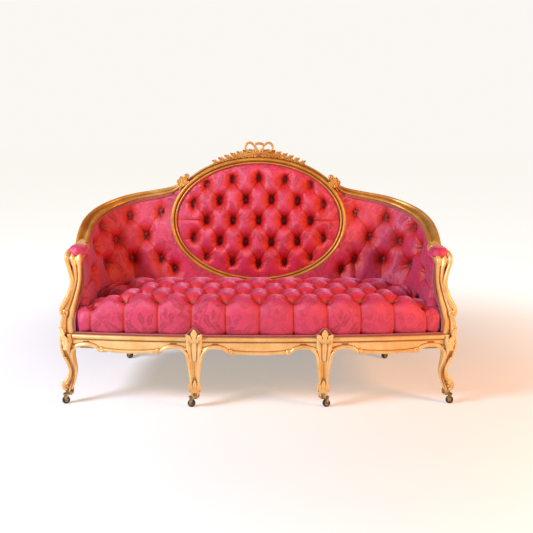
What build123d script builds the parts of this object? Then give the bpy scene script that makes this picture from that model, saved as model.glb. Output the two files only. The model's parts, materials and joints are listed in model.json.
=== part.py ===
from build123d import *
import math
import os

# A carved and gilt settee with an oval medallion back, deep-buttoned upholstery and brass casters.
# Millimetres. X runs to the viewer's right, Y to the back, Z up. The origin is on the floor, in the middle.

# Front line and leg places
CORNER_LEG_X = 740.0  # corner leg axis, from the middle
FRONT_Y = -246.2  # corner leg axes, front of the middle
FRONT_BOW = 48.0  # how far the front bows forward between the corner legs
MID_LEG_X = 247.0  # centre leg axis, from the middle
REAR_FOOT_X = 616.0
REAR_FOOT_BACK = 546.0  # rear feet behind the corner leg axes

# Seat frame
RAIL_TOP = 286.0
RAIL_LOW = 217.0  # lowest point of the shaped rails
ARCH_TOP = 250.0  # highest point under the front rail's arches
SCROLL_LIFT = 10.0  # scroll ends of the arches, over the lowest point
OUTER_ARCH = 102.0  # length of an arch in the outer bays
CENTRE_ARCH = 105.0  # and in the centre bay
RAIL_FRONT = 22.0  # front face of the front rail, ahead of the front line
RAIL_REAR = 18.0  # rear face of the front rail, behind the front line
SIDE_RAIL = 35.0  # side rail thickness
REAR_RAIL = 36.0  # rear rail thickness
POST_W = 62.0  # square block on top of a corner leg
POST_D = 56.0
MID_BLOCK_W = 65.0
REAR_BLOCK_W = 54.0
REAR_BLOCK_D = 62.0

# Back wall in plan: a straight back, a round corner and straight arms, at the height of the top rail
BACK_SETBACK = 543.0  # outer face of the back, behind the corner leg axes
BACK_RUN = 470.0  # half length of the straight back
CORNER_R = 265.0
WALL_LEAN = 50.0  # how far the back leans outwards between the seat rail and the top rail
ARM_LEAN = 7.0  # the same at the arms
SHELL = 5.0  # outside back covering and its hessian
PAD = 53.0  # wall upholstery in front of the shell, at the seat
PAD_CROWN = 18.0  # how far the wall upholstery swells
PAD_TAIL = 78.0  # how far it runs on under the arm rest
FIT = 0.3  # gap left between curved faces that meet
TOP_GAP = 2.0  # room between the wall upholstery and the rail over it
PAD_BACK = 5.5  # room between the wall upholstery and the shell behind it

# Arms
ARM_TOP = 598.0
ARM_H = 40.0
ARM_W = 52.0
ARM_REAR = 156.0  # rear end of the arm rest, behind the corner leg axes
ARM_FRONT = 38.0  # front end of the arm rest, behind the corner leg axes
ARM_PAD_L = 82.0
ARM_PAD_W = 64.0
ARM_PAD_H = 25.0

# Medallion
MED_BACK = 488.0  # middle of the medallion, behind the corner leg axes
MED_Z = 660.0
MED_TILT = 7.0
MED_A = 364.0  # half width of the opening
MED_B = 253.0  # half height of the opening
RING_W = 28.0
RING_FRONT = 18.0  # ring thickness ahead of the medallion plane
RING_BACK = 40.0  # and behind it
RING_STEP = 7.0  # height and inset of the raised moulding on the ring
ARCH_BAND = 10.0  # extra moulding over the top of the ring
ARCH_FROM = 128.0  # height on the medallion where that moulding starts
MED_CROWN = 46.0  # how far the pad swells ahead of the medallion plane
MED_RIM = 4.0  # height of the pad at the ring
PANEL = 4.0  # outside back panel

# Crest and shoulder leaves
CREST_TOP = 334.0  # top of the bow, up from the medallion's middle
CREST_HALF = 193.0  # half length of the garland
GARLAND = 15.0
BOW_HALF = 70.0
CREST_T = 30.0
LEAF_X = 338.0
LEAF_TOP = 198.0
LEAF_W = 46.0
LEAF_T = 30.0
LEAF_BACK = 8.0

# Seat
SEAT_TOP = 447.0
SEAT_FRONT = 8.0  # seat face ahead of the front line
SEAT_CORNER_X = 697.0  # front corner of the seat, beside the arm support
SEAT_STEP = 46.0  # behind the corner leg axes the seat narrows to fit between the wings
SEAT_GAP = 6.0  # room between the seat and the wings
SEAT_EDGE = 40.0  # width of the rolled edge round the seat's top
SEAT_TUCK = 60.0  # the wings' lowest fold, below the seat's top
WELL_TOP = 337.5  # roof of the spring well
WELL_HALF_X = 525.0
WELL_BORDER = 75.0

# Tufting
BUTTON_R = 9.0
BUTTON_H = 5.0
TUFT_DEPTH = 20.0
PLEAT_DEPTH = 10.0
MED_PITCH = 113.0
SEAT_ROW = 92.0  # distance between seat button rows
SEAT_FIRST_ROW = 50.0  # first row behind the corner leg axes

# Casters
WHEEL_R = 15.0
WHEEL_W = 13.0
TRAIL = 15.0
LEG_END = 46.0  # underside of a leg
CUP_FLOOR = 4.0
CUP_WALL = 3.3
CUP_H = 20.0
SPIGOT_R = 13.0
STEM_R = 4.0
HEAD_R = 6.5
HEAD_H = 4.0
AXLE_R = 2.5
CHEEK = 3.0
CHEEK_GAP = 0.7
CROWN_H = 6.0
RUN_FIT = 0.05  # radial clearance of a turning fit
THRUST = 0.2  # clearance under the cup

# Springs and cloths under the seat
GLUE_BLOCK = 100.0  # length of a corner block along the front rail
CLOTH = 1.5
WEB_Z = 254.0
WEB_W = 50.0
DUST_Z = 251.0
SPRING_R = 34.0
SPRING_WIRE = 3.6
SPRING_TURNS = 4
SPRING_EDGE_X = 45.0  # outer spring axes inside the well's ends
SPRING_EDGE_Y = 70.0  # and inside its front and rear

# Worked-out places
BACK_Y = FRONT_Y + BACK_SETBACK
REAR_FOOT_Y = FRONT_Y + REAR_FOOT_BACK
MED_Y = FRONT_Y + MED_BACK
ARC_LEN = CORNER_R * math.pi / 2
CORNER_CY = BACK_Y - CORNER_R
ARM_X = BACK_RUN + CORNER_R
FRONT_R = (CORNER_LEG_X**2 + FRONT_BOW**2) / (2 * FRONT_BOW)
FRONT_CY = FRONT_Y - FRONT_BOW + FRONT_R
FRAME_REAR = BACK_Y - WALL_LEAN
FRAME_SIDE = ARM_X - ARM_LEAN + 2
FRAME_R = 217.0
FRAME_CX = FRAME_SIDE - FRAME_R
FRAME_CY = FRAME_REAR - FRAME_R
POST_IN = CORNER_LEG_X - POST_W / 2
POST_BACK = FRONT_Y + POST_D / 2
REAR_BLOCK_X = 580.0
REAR_BLOCK_Y = FRAME_REAR - REAR_BLOCK_D / 2
ARM_START = BACK_RUN + ARC_LEN + CORNER_CY - (FRONT_Y + ARM_REAR)
PAD_END = ARM_START + PAD_TAIL

UP = (Align.CENTER, Align.CENTER, Align.MIN)
parts = {}


def mirrored(shape):
    """The same piece on the viewer's left."""
    return mirror(shape, Plane.YZ)


def pair(name, shape):
    """Adds a right piece and its mirror image on the left."""
    parts[name + "_right"] = shape
    parts[name + "_left"] = mirrored(shape)


def both(shapes):
    """Right pieces together with their mirror images."""
    return shapes + [mirrored(s) for s in shapes]


def blend_between(x, stops):
    """Value at x on straight lines between (place, value) stops."""
    if x <= stops[0][0]:
        return stops[0][1]
    for (x0, v0), (x1, v1) in zip(stops, stops[1:]):
        if x <= x1:
            return v0 + (v1 - v0) * (x - x0) / (x1 - x0)
    return stops[-1][1]


def smooth_between(x, stops):
    """Value at x on a smooth curve through (place, value) stops."""
    last = len(stops) - 2
    k = max(i for i in range(last + 1) if i == 0 or stops[i][0] <= x)
    (x0, v0), (x1, v1) = stops[k], stops[k + 1]
    before = stops[max(k - 1, 0)]
    after = stops[min(k + 2, last + 1)]
    span = x1 - x0
    slope0 = (v1 - before[1]) / (x1 - before[0]) * span
    slope1 = (after[1] - v0) / (after[0] - x0) * span
    t = (x - x0) / span
    keep = (1 + 2 * t) * (1 - t) ** 2
    return keep * v0 + (1 - keep) * v1 + t * (1 - t) ** 2 * slope0 - t * t * (1 - t) * slope1


def front_y(x, out=0.0):
    """The bowed front line at x, moved forward by out."""
    return FRONT_CY - math.sqrt((FRONT_R + out) ** 2 - x * x)


def front_drum(out, z0, z1):
    """Everything behind the front line moved forward by out, between two heights."""
    return Pos(0, FRONT_CY, z0) * Cylinder(FRONT_R + out, z1 - z0, align=UP)


def block(x0, x1, y0, y1, z0, z1):
    """A box between two corners."""
    return Pos((x0 + x1) / 2, (y0 + y1) / 2, z0) * Box(x1 - x0, y1 - y0, z1 - z0, align=UP)


def limb(stations):
    """A carved limb through rounded sections: height, centre x and y, width and depth."""
    sections = [
        Pos(x, y, z) * RectangleRounded(w, d, 0.3 * min(w, d)) for z, x, y, w, d in stations
    ]
    return loft(sections)


def spigot(x, y, top):
    """The round end of a leg inside its caster cup, with room for the stem's head."""
    peg = Pos(x, y, LEG_END) * Cylinder(SPIGOT_R, top - LEG_END, align=UP)
    return peg - Pos(x, y, LEG_END) * Cylinder(HEAD_R + 1, HEAD_H + 2, align=UP)


# Seat frame: three shaped front rails, two bowed side rails and a rear rail
def front_rail(x0, x1, scroll):
    """One bay of the front rail: an arch beside each leg, and a belly between their scroll ends."""
    mid = (x0 + x1) / 2
    near = x0 + scroll
    far = x1 - scroll
    scroll_z = RAIL_LOW + SCROLL_LIFT
    outline = [
        Line((x0, RAIL_TOP), (x0, scroll_z)),
        ThreePointArc((x0, scroll_z), ((x0 + near) / 2, ARCH_TOP), (near, scroll_z)),
        ThreePointArc((near, scroll_z), (mid, RAIL_LOW), (far, scroll_z)),
        ThreePointArc((far, scroll_z), ((x1 + far) / 2, ARCH_TOP), (x1, scroll_z)),
        Line((x1, scroll_z), (x1, RAIL_TOP)),
        Line((x1, RAIL_TOP), (x0, RAIL_TOP)),
    ]
    slab = extrude(Plane.XZ * make_face(outline), amount=CORNER_LEG_X, both=True)
    band = front_drum(RAIL_FRONT, 0, RAIL_TOP) - front_drum(-RAIL_REAR, 0, RAIL_TOP)
    return slab & band


MID_OUT = MID_LEG_X + MID_BLOCK_W / 2
MID_IN = MID_LEG_X - MID_BLOCK_W / 2
pair("front_rail", front_rail(MID_OUT, POST_IN, OUTER_ARCH))
parts["front_rail_centre"] = front_rail(-MID_IN, MID_IN, CENTRE_ARCH)

REAR_IN = REAR_BLOCK_X - REAR_BLOCK_W / 2
REAR_OUT = REAR_BLOCK_X + REAR_BLOCK_W / 2
parts["rear_rail"] = block(
    -REAR_IN, REAR_IN, FRAME_REAR - REAR_RAIL, FRAME_REAR, RAIL_LOW, RAIL_TOP
)


SEAM = 5.0  # overlap of the two halves of a plan at the middle


def frame_corner(inset):
    """Right half of the seat frame's plan behind the corner posts, inside its outer face by inset."""
    r = FRAME_R - inset
    half = r * math.sqrt(0.5)
    return make_face(
        [
            Line((-SEAM, POST_BACK), (FRAME_CX + r, POST_BACK)),
            Line((FRAME_CX + r, POST_BACK), (FRAME_CX + r, FRAME_CY)),
            ThreePointArc(
                (FRAME_CX + r, FRAME_CY),
                (FRAME_CX + half, FRAME_CY + half),
                (FRAME_CX, FRAME_CY + r),
            ),
            Line((FRAME_CX, FRAME_CY + r), (-SEAM, FRAME_CY + r)),
            Line((-SEAM, FRAME_CY + r), (-SEAM, POST_BACK)),
        ]
    )


side_plan = frame_corner(0) - frame_corner(SIDE_RAIL)
side_plan = side_plan - Rectangle(2 * REAR_OUT, 4 * FRAME_REAR)
pair("side_rail", extrude(Pos(0, 0, RAIL_LOW) * side_plan, amount=RAIL_TOP - RAIL_LOW))

# Legs
CUP_TOP = LEG_END - CUP_FLOOR + CUP_H
KNEE_Z = 240.0
corner_leg = limb(
    [
        (CUP_TOP, CORNER_LEG_X + 1, FRONT_Y - 1, 34, 34),
        (90, CORNER_LEG_X - 9, FRONT_Y + 6, 28, 28),
        (129, CORNER_LEG_X - 15, FRONT_Y + 11, 28, 28),
        (180, CORNER_LEG_X - 6, FRONT_Y, 40, 40),
        (KNEE_Z, CORNER_LEG_X - 2, FRONT_Y - 2, POST_W - 4, POST_D - 2),
    ]
)
corner_leg += block(
    POST_IN, POST_IN + POST_W, FRONT_Y - POST_D / 2, POST_BACK, KNEE_Z - 12, RAIL_TOP
)
corner_leg += spigot(CORNER_LEG_X, FRONT_Y, CUP_TOP)
pair("front_leg", corner_leg)

MID_LEG_Y = front_y(MID_LEG_X)
MID_BLOCK_D = RAIL_FRONT + RAIL_REAR + 8
mid_leg = limb(
    [
        (CUP_TOP, MID_LEG_X, MID_LEG_Y, 34, 34),
        (90, MID_LEG_X, MID_LEG_Y + 2, 42, 38),
        (150, MID_LEG_X, MID_LEG_Y + 3, 50, 40),
        (RAIL_LOW + 6, MID_LEG_X, MID_LEG_Y - 2, MID_BLOCK_W - 2, MID_BLOCK_D - 2),
    ]
)
mid_leg += block(
    MID_IN, MID_OUT, MID_LEG_Y - 2 - MID_BLOCK_D / 2, MID_LEG_Y - 2 + MID_BLOCK_D / 2, RAIL_LOW, RAIL_TOP
)
mid_leg += spigot(MID_LEG_X, MID_LEG_Y, CUP_TOP)
pair("centre_leg", mid_leg)


# Back wall: planes square to its line, so that u runs inwards and v is the height
def wall_plane(s):
    """Plane square to the wall's outer line at distance s from the middle of the back."""
    a = min(max((s - BACK_RUN) / CORNER_R, 0.0), math.pi / 2)
    x = min(s, BACK_RUN) + CORNER_R * math.sin(a)
    y = CORNER_CY + CORNER_R * math.cos(a) - max(s - BACK_RUN - ARC_LEN, 0.0)
    return Plane(
        origin=(x, y, 0), x_dir=(-math.sin(a), -math.cos(a), 0), z_dir=(-math.cos(a), math.sin(a), 0)
    )


# Height, width and depth of the top rail along the wall
RAIL_START = 345.0
RAIL_STEPS = 16
RISE = [
    (RAIL_START, 832.0),
    (385.0, 808.0),
    (470.0, 790.0),
    (590.0, 770.0),
    (740.0, 730.0),
    (840.0, 695.0),
    (930.0, 663.0),
    (975.0, 636.0),
    (ARM_START, ARM_TOP + 6),
]
RAIL_STATIONS = [RAIL_START + (ARM_START - RAIL_START) * k / RAIL_STEPS for k in range(RAIL_STEPS + 1)]
WIDTH = [(RAIL_START, 30.0), (ARM_START, 46.0)]
DEPTH = [(RAIL_START, 28.0), (ARM_START, 38.0)]
LEAN = [
    (BACK_RUN, WALL_LEAN),
    (BACK_RUN + 0.3 * ARC_LEN, 0.5 * WALL_LEAN + 2),
    (BACK_RUN + 0.5 * ARC_LEN, 0.3 * WALL_LEAN + 5),
    (BACK_RUN + ARC_LEN, ARM_LEAN),
]


def rail_top(s):
    return smooth_between(min(max(s, RAIL_START), ARM_START), RISE)


def rail_w(s):
    return blend_between(s, WIDTH)


def rail_h(s):
    return blend_between(s, DEPTH)


def lean(s):
    return blend_between(s, LEAN)


def ceiling(s):
    """Underside of what covers the wall at s: the top rail, or the arm rest."""
    if s >= ARM_START:
        return ARM_TOP - ARM_H
    return rail_top(s) - rail_h(s)


def outer(s, z):
    """How far inside the outer line the leaning outer face is at height z."""
    return lean(s) * (ceiling(s) - z) / (ceiling(s) - RAIL_TOP)


def wing_rail(extra=0.0):
    """The top rail of one wing, from the medallion's shoulder down to the arm."""
    sections = []
    for s in RAIL_STATIONS:
        w = rail_w(s)
        h = rail_h(s)
        section = RectangleRounded(w + 2 * extra, h + 2 * extra, 8)
        sections.append(wall_plane(s) * Pos(w / 2, rail_top(s) - h / 2) * section)
    return loft(sections, ruled=True)


# Medallion plane: u to the right, v up the slope, w forwards
TILT = math.radians(MED_TILT)
medallion = Plane(
    origin=(0, MED_Y, MED_Z), x_dir=(1, 0, 0), z_dir=(0, -math.cos(TILT), math.sin(TILT))
)


def oval(grow, w0, w1):
    """An oval disc, larger than the opening by grow, between two depths."""
    face = Pos(0, 0, w0) * Ellipse(MED_A + grow, MED_B + grow)
    return medallion * extrude(face, amount=w1 - w0)


def med_box(u0, u1, v0, v1, w0, w1):
    return medallion * block(u0, u1, v0, v1, w0, w1)


HALF_W = 2 * MED_A
ring = oval(RING_W, -RING_BACK, RING_FRONT - RING_STEP) - oval(0, -RING_BACK, RING_FRONT)
ring += oval(RING_W - RING_STEP, RING_FRONT - RING_STEP, RING_FRONT) - oval(
    RING_STEP, RING_FRONT - RING_STEP, RING_FRONT
)
top_band = oval(RING_W + ARCH_BAND, -RING_BACK / 2, RING_FRONT - RING_STEP) - oval(
    RING_W, -RING_BACK / 2, RING_FRONT - RING_STEP
)
top_band = top_band & med_box(-HALF_W, HALF_W, ARCH_FROM, HALF_W, -HALF_W, HALF_W)
parts["medallion_frame"] = ring + top_band
ring_hole = oval(RING_W + FIT, -3 * RING_BACK, 3 * RING_BACK)
band_hole = oval(RING_W + ARCH_BAND + FIT, -3 * RING_BACK, 3 * RING_BACK) & med_box(
    -HALF_W, HALF_W, ARCH_FROM - FIT, HALF_W, -HALF_W, HALF_W
)

wing = wing_rail() - ring_hole - band_hole
pair("wing_rail", wing)
rail_room = wing_rail(FIT)

# Arm rest and its support
arm_y0 = FRONT_Y + ARM_FRONT
arm_y1 = FRONT_Y + ARM_REAR
arm_rest = block(ARM_X - ARM_W, ARM_X, arm_y0, arm_y1, ARM_TOP - ARM_H, ARM_TOP)
front_edges = arm_rest.edges().filter_by(Axis.Z).sort_by(Axis.Y)[:2]
arm_rest = fillet(front_edges, 18)
pair("arm_rest", arm_rest)

SUPPORT_TOP = ARM_TOP - ARM_H
arm_support = limb(
    [
        (RAIL_TOP, CORNER_LEG_X - 3, FRONT_Y + 5, 56, 44),
        (330, CORNER_LEG_X - 2, FRONT_Y + 12, 50, 44),
        (370, CORNER_LEG_X - 4, FRONT_Y + 19, 52, 42),
        (420, CORNER_LEG_X - 18, FRONT_Y + 29, 40, 38),
        (480, CORNER_LEG_X - 38, FRONT_Y + 41, 27, 36),
        (530, CORNER_LEG_X - 41, FRONT_Y + 51, 30, 36),
        (SUPPORT_TOP, ARM_X - ARM_W / 2 - 4, FRONT_Y + 58, 42, 38),
    ]
)
pair("arm_support", arm_support)

# Rear legs, each with a stile that stands in the wall up to the top rail
STILE_S = 613.0
STILE_W = 36.0
STILE_T = 14.0
STILE_GAP = 3.5  # room between a stile and the curved shell behind it


def stile(extra=0.0):
    """The upright over a rear leg, between the shell and the upholstery."""
    sections = []
    for z in (RAIL_TOP, ceiling(STILE_S) - 3 * TOP_GAP):
        p = wall_plane(STILE_S)
        u = outer(STILE_S, z) + SHELL + STILE_GAP + STILE_T / 2
        centre = p.origin + p.x_dir * u + Vector(0, 0, z)
        flat = Plane(origin=centre, x_dir=p.x_dir, z_dir=(0, 0, 1))
        sections.append(flat * Rectangle(STILE_T + 2 * extra, STILE_W + 2 * extra))
    return loft(sections, ruled=True)


rear_leg = limb(
    [
        (CUP_TOP, REAR_FOOT_X - 2, REAR_FOOT_Y - 5, 32, 32),
        (110, REAR_FOOT_X - 13, REAR_FOOT_Y - 30, 30, 30),
        (165, REAR_FOOT_X - 24, REAR_FOOT_Y - 58, 38, 40),
        (RAIL_LOW + 4, REAR_BLOCK_X, REAR_BLOCK_Y, REAR_BLOCK_W - 4, REAR_BLOCK_D - 4),
    ]
)
rear_leg += block(
    REAR_IN,
    REAR_OUT,
    REAR_BLOCK_Y - REAR_BLOCK_D / 2,
    REAR_BLOCK_Y + REAR_BLOCK_D / 2,
    RAIL_LOW,
    RAIL_TOP,
)
rear_leg += stile()
rear_leg += spigot(REAR_FOOT_X, REAR_FOOT_Y, CUP_TOP + 4)
pair("rear_leg", rear_leg)

# Posts that carry the medallion on the rear rail
POST_X = 150.0
POST_T = 30.0
post_front = FRAME_REAR - REAR_RAIL
post = block(POST_X - POST_T / 2, POST_X + POST_T / 2, post_front, post_front + POST_T - 3, RAIL_TOP, MED_Z)
post = post - oval(RING_W, -3 * RING_BACK, 3 * RING_BACK)
parts["back_posts"] = Compound(both([post.solids().sort_by(Axis.Z)[0]]))


# Outside back and upholstery of the wings
def wall_shell():
    """The outside covering of one wing, from the seat rail up to the top rail."""
    sections = []
    for s in [0.0] + RAIL_STATIONS + [PAD_END]:
        top = ceiling(s) - TOP_GAP
        low = outer(s, RAIL_TOP)
        high = outer(s, top)
        face = make_face(
            Polyline((low, RAIL_TOP), (low + SHELL, RAIL_TOP), (high + SHELL, top), (high, top), close=True)
        )
        sections.append(wall_plane(s) * face)
    return loft(sections, ruled=True)


pair("wing_back", wall_shell() - ring_hole - band_hole)


# Tufting: a fold runs between neighbouring buttons, and each diamond between them swells
def quilt(grid, first):
    """Triangles over a grid of points, folded along the lines that join its buttons."""
    triangles = []
    for i, (row, after) in enumerate(zip(grid, grid[1:])):
        for j in range(len(row) - 1):
            a, b, c, d = row[j], row[j + 1], after[j + 1], after[j]
            if (i + j + first) % 2:
                triangles += [(a, b, d), (b, c, d)]
            else:
                triangles += [(a, b, c), (a, c, d)]
    return triangles


def border(grid):
    """The points round the edge of a grid, in order."""
    right = [row[-1] for row in grid[1:-1]]
    left = [row[0] for row in grid[1:-1]]
    return grid[0] + right + grid[-1][::-1] + left[::-1]


def stuffed(polygons):
    """A closed pad with these flat faces."""
    faces = [Face(Wire.make_polygon(corners)) for corners in polygons]
    return Solid(Shell(faces))


def walls(front, back):
    """Triangles between two loops of as many points."""
    triangles = []
    for k in range(len(front)):
        a, b = front[k - 1], front[k]
        c, d = back[k], back[k - 1]
        triangles += [(a, b, c), (a, c, d)]
    return triangles


def button(grid, i, j, n):
    """A covered button in the hollow at row i, column j of a pad, with n the way out of the pad."""
    p = grid[i][j]
    slope = 0.0
    for q in (grid[i - 1][j], grid[i + 1][j], grid[i][j - 1], grid[i][j + 1]):
        rise = (q - p).dot(n)
        slope = max(slope, rise / (q - p - n * rise).length)
    knob = Cylinder(BUTTON_R, BUTTON_H, align=UP)
    knob = fillet(knob.edges().sort_by(Axis.Z)[-1], 0.6 * BUTTON_H)
    return Plane(origin=p + n * (slope * BUTTON_R + 2 * FIT), z_dir=n) * knob


# Medallion upholstery: half columns across and five rows of buttons
OUT = medallion.z_dir
MED_HALF = 5  # half columns each side of the middle
MED_ROW_V = (182.0, 94.0, 2.0, -94.0, -184.0)
MED_ROW_SAG = 42.0  # how far the outer rows curve towards the middle at the sides


def med_place(j, k):
    """Row j and half column k on the medallion plane, with the rim outside the rows."""
    row = min(max(j, 0), len(MED_ROW_V) - 1)
    u = k * MED_PITCH / 2
    v = MED_ROW_V[row] * (1 - MED_ROW_SAG / MED_ROW_V[0] * (k / MED_HALF) ** 2)
    v += (row - j) * MED_PITCH
    if row == j and abs(k) <= MED_HALF:
        return u, v
    grow = 1 / math.hypot(u / MED_A, v / MED_B)
    return u * grow, v * grow


def med_point(j, k):
    """Surface point of the medallion pad: low at the buttons and at the rim, high between."""
    u, v = med_place(j, k)
    r2 = (u / MED_A) ** 2 + (v / MED_B) ** 2
    w = MED_RIM + (MED_CROWN - MED_RIM) * (1 - r2 * r2)
    if r2 > 0.999:
        shrink = 1 - FIT / MED_B
        return medallion.from_local_coords(Vector(u * shrink, v * shrink, MED_RIM))
    if (j + k) % 2 == 0:
        w -= TUFT_DEPTH
    return medallion.from_local_coords(Vector(u, v, w))


MED_COLUMNS = range(-MED_HALF - 1, MED_HALF + 2)
PANEL_BACK = 6 - RING_BACK
parts["medallion_back"] = oval(-FIT, PANEL_BACK, PANEL_BACK + PANEL)
med_grid = [[med_point(j, k) for k in MED_COLUMNS] for j in range(-1, len(MED_ROW_V) + 1)]
med_rim = border(med_grid)
med_back = [p - OUT * (MED_RIM - PANEL_BACK - PANEL) for p in med_rim]
parts["medallion_pad"] = stuffed(quilt(med_grid, MED_HALF % 2) + walls(med_rim, med_back) + [med_back])
med_buttons = []
for j in range(len(MED_ROW_V)):
    for k in range(-MED_HALF, MED_HALF + 1):
        if (j + k) % 2 == 0:
            med_buttons.append(button(med_grid, j + 1, k + MED_HALF + 1, OUT))
parts["medallion_buttons"] = Compound(med_buttons)

# Wing upholstery: half columns along the wall, and rows of buttons that follow the falling rail
PAD_START = 182.0
WING_S = (435.0, 510.0, 590.0, 672.0, 755.0, 850.0, 945.0)
WING_TOP_ROW = (699.0, 690.0, 682.0, 668.0, 650.0, 636.0, 610.0)
WING_MID_ROW = (600.0, 596.0, 590.0, 582.0, 579.0, 575.0, 560.0)
WING_LOW_ROW = (494.0, 494.0, 493.0, 491.0, 486.0, 480.0, 474.0)
WING_ROWS = (WING_TOP_ROW, WING_MID_ROW, WING_LOW_ROW)
WING_LEAD = (PAD_START, RAIL_START, (RAIL_START + WING_S[0]) / 2)  # places before its first buttons


def pad_u(s, z):
    """Where the swelling inner face of the wall upholstery lies at s and height z."""
    top = ceiling(s) - TOP_GAP
    low_u = outer(s, RAIL_TOP) + SHELL + PAD
    high_u = rail_w(s) - 4
    t = (z - RAIL_TOP) / (top - RAIL_TOP)
    return low_u + (high_u - low_u) * t + 4 * PAD_CROWN * t * (1 - t)


def wall_point(s, u, z):
    p = wall_plane(s)
    return p.origin + Vector(*p.x_dir) * u + Vector(0, 0, z)


def wing_stations():
    """Places along the wall: the ends of the pad and the half columns of its buttons."""
    return list(WING_LEAD + WING_S) + [ARM_START, PAD_END]


def wing_is_button(j, k):
    """Buttons alternate from row to row, and the low end of the top row has none."""
    return 0 <= k < len(WING_S) and (j + k) % 2 == 0 and (j, k) != (0, len(WING_S) - 1)


def wing_heights(k, s):
    """Heights of the grid at column k: top edge, three rows, seat line and bottom."""
    col = min(max(k, 0), len(WING_S) - 1)
    top = ceiling(s) - TOP_GAP
    share = (top - RAIL_TOP) / (ceiling(WING_S[col]) - TOP_GAP - RAIL_TOP)
    rows = [RAIL_TOP + (row[col] - RAIL_TOP) * share for row in WING_ROWS]
    return [top] + rows + [SEAT_TOP - SEAT_TUCK, RAIL_TOP]


wing_grid = [[] for row in range(len(WING_ROWS) + 3)]
wing_rear = [[] for row in range(len(WING_ROWS) + 3)]
button_places = []
for index, s in enumerate(wing_stations()):
    k = index - len(WING_LEAD)
    for i, z in enumerate(wing_heights(k, s)):
        u = pad_u(s, z)
        if wing_is_button(i - 1, k) and 0 < i <= len(WING_ROWS):
            u -= TUFT_DEPTH
            button_places.append((i, index, Vector(*wall_plane(s).x_dir)))
        wing_grid[i].append(wall_point(s, u, z))
        wing_rear[i].append(wall_point(s, outer(s, z) + SHELL + PAD_BACK, z))
wing_pad = stuffed(
    quilt(wing_grid, 0) + quilt(wing_rear, 0) + walls(border(wing_grid), border(wing_rear))
)
wing_pad = wing_pad - ring_hole - band_hole - stile(FIT)
pair("wing_pad", wing_pad)
parts["wing_buttons"] = Compound(both([button(wing_grid, *place) for place in button_places]))

# Seat upholstery: half columns across, four rows of buttons and pleats down the front
SEAT_HALF = 10  # half columns each side of the middle
SEAT_ROWS = 4
SEAT_LEVELS = ((0.0, 6.0), (0.6, 0.0), (0.9, 18.0))  # share of the height, and inset of the face there
SIDE_LEVELS = ((0.9, 8.0, 0.0), (0.5, 0.0, 7.0), (0.0, 4.0, 15.0))  # share, inset, and end rounding
Z_OUT = Vector(0, 0, 1)
seat_h = SEAT_TOP - RAIL_TOP


def seat_limit(s):
    """The seat's edge where it meets the wing at s."""
    reach = max(pad_u(s, RAIL_TOP + t * seat_h / 4) for t in range(5))
    return wall_point(s, reach + SEAT_GAP, 0)


WALL_LIMIT = [seat_limit(20.0 * k) for k in range(int((BACK_RUN + ARC_LEN) / 20.0) + 1)]
SEAT_SIDE_X = WALL_LIMIT[-1].X
SEAT_CORNER_Y = WALL_LIMIT[-1].Y


def seat_rear(x):
    """The seat's rear edge at x."""
    return blend_between(abs(x), [(p.X, p.Y) for p in WALL_LIMIT])


def seat_column(k):
    """The profile of the seat at half column k, from the front hem over the top to the rear hem."""
    x = k * (SEAT_SIDE_X - SEAT_EDGE / 2) / SEAT_HALF
    fold = 0.0 if k % 2 else PLEAT_DEPTH
    points = []
    for share, inset in SEAT_LEVELS:
        points.append(Vector(x, front_y(x, SEAT_FRONT - inset - fold), RAIL_TOP + share * seat_h))
    first = FRONT_Y + SEAT_FIRST_ROW
    rear = seat_rear(x)
    row = min(SEAT_ROW, (rear - SEAT_EDGE - first) / SEAT_ROWS)
    for j in range(SEAT_ROWS):
        dip = 0.0 if (j + k) % 2 else TUFT_DEPTH
        points.append(Vector(x, first + j * row, SEAT_TOP - dip))
    points.append(Vector(x, rear - SEAT_EDGE / 3, RAIL_TOP + 0.9 * seat_h))
    points.append(Vector(x, rear, RAIL_TOP + 0.5 * seat_h))
    points.append(Vector(x, rear - SEAT_LEVELS[0][1], RAIL_TOP))
    return points


def seat_side(share, inset, rounding):
    """A line along the seat's side at one height, with as many points as a column."""
    last = seat_column(SEAT_HALF)
    front = front_y(SEAT_CORNER_X, SEAT_FRONT - SEAT_LEVELS[0][1]) + rounding
    rear = SEAT_CORNER_Y - rounding
    points = []
    for i, p in enumerate(last):
        y = front + (rear - front) * i / (len(last) - 1)
        wide = SEAT_CORNER_X if y < FRONT_Y + SEAT_STEP else SEAT_SIDE_X
        points.append(Vector(wide - inset, y, min(p.Z, RAIL_TOP + share * seat_h)))
    return points


def flip_x(points):
    return [Vector(-p.X, p.Y, p.Z) for p in points]


right_side = [seat_side(*level) for level in SIDE_LEVELS]
columns = [seat_column(k) for k in range(-SEAT_HALF, SEAT_HALF + 1)]
columns = [flip_x(c) for c in right_side[::-1]] + columns + right_side
seat_grid = [[c[i] for c in columns] for i in range(len(columns[0]))]
seat = stuffed(quilt(seat_grid, 0) + [border(seat_grid)])
seat_buttons = []
for k in range(-SEAT_HALF, SEAT_HALF + 1):
    for j in range(SEAT_ROWS):
        if (j + k) % 2 == 0:
            column = k + SEAT_HALF + len(SIDE_LEVELS)
            seat_buttons.append(button(seat_grid, j + len(SEAT_LEVELS), column, Z_OUT))
parts["seat_buttons"] = Compound(seat_buttons)

# Spring well under the seat
WELL_Y0 = front_y(WELL_HALF_X, SEAT_FRONT) + WELL_BORDER
WELL_Y1 = seat_rear(0) - WELL_BORDER
WELL_MID = (WELL_Y0 + WELL_Y1) / 2
SPRING_PITCH_X = (WELL_HALF_X - SPRING_EDGE_X) / 2
SPRING_PITCH_Y = WELL_Y1 - WELL_Y0 - 2 * SPRING_EDGE_Y


def well_plan(inset, z):
    return Pos(0, WELL_MID, z) * Rectangle(2 * (WELL_HALF_X - inset), WELL_Y1 - WELL_Y0 - 2 * inset)


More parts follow.
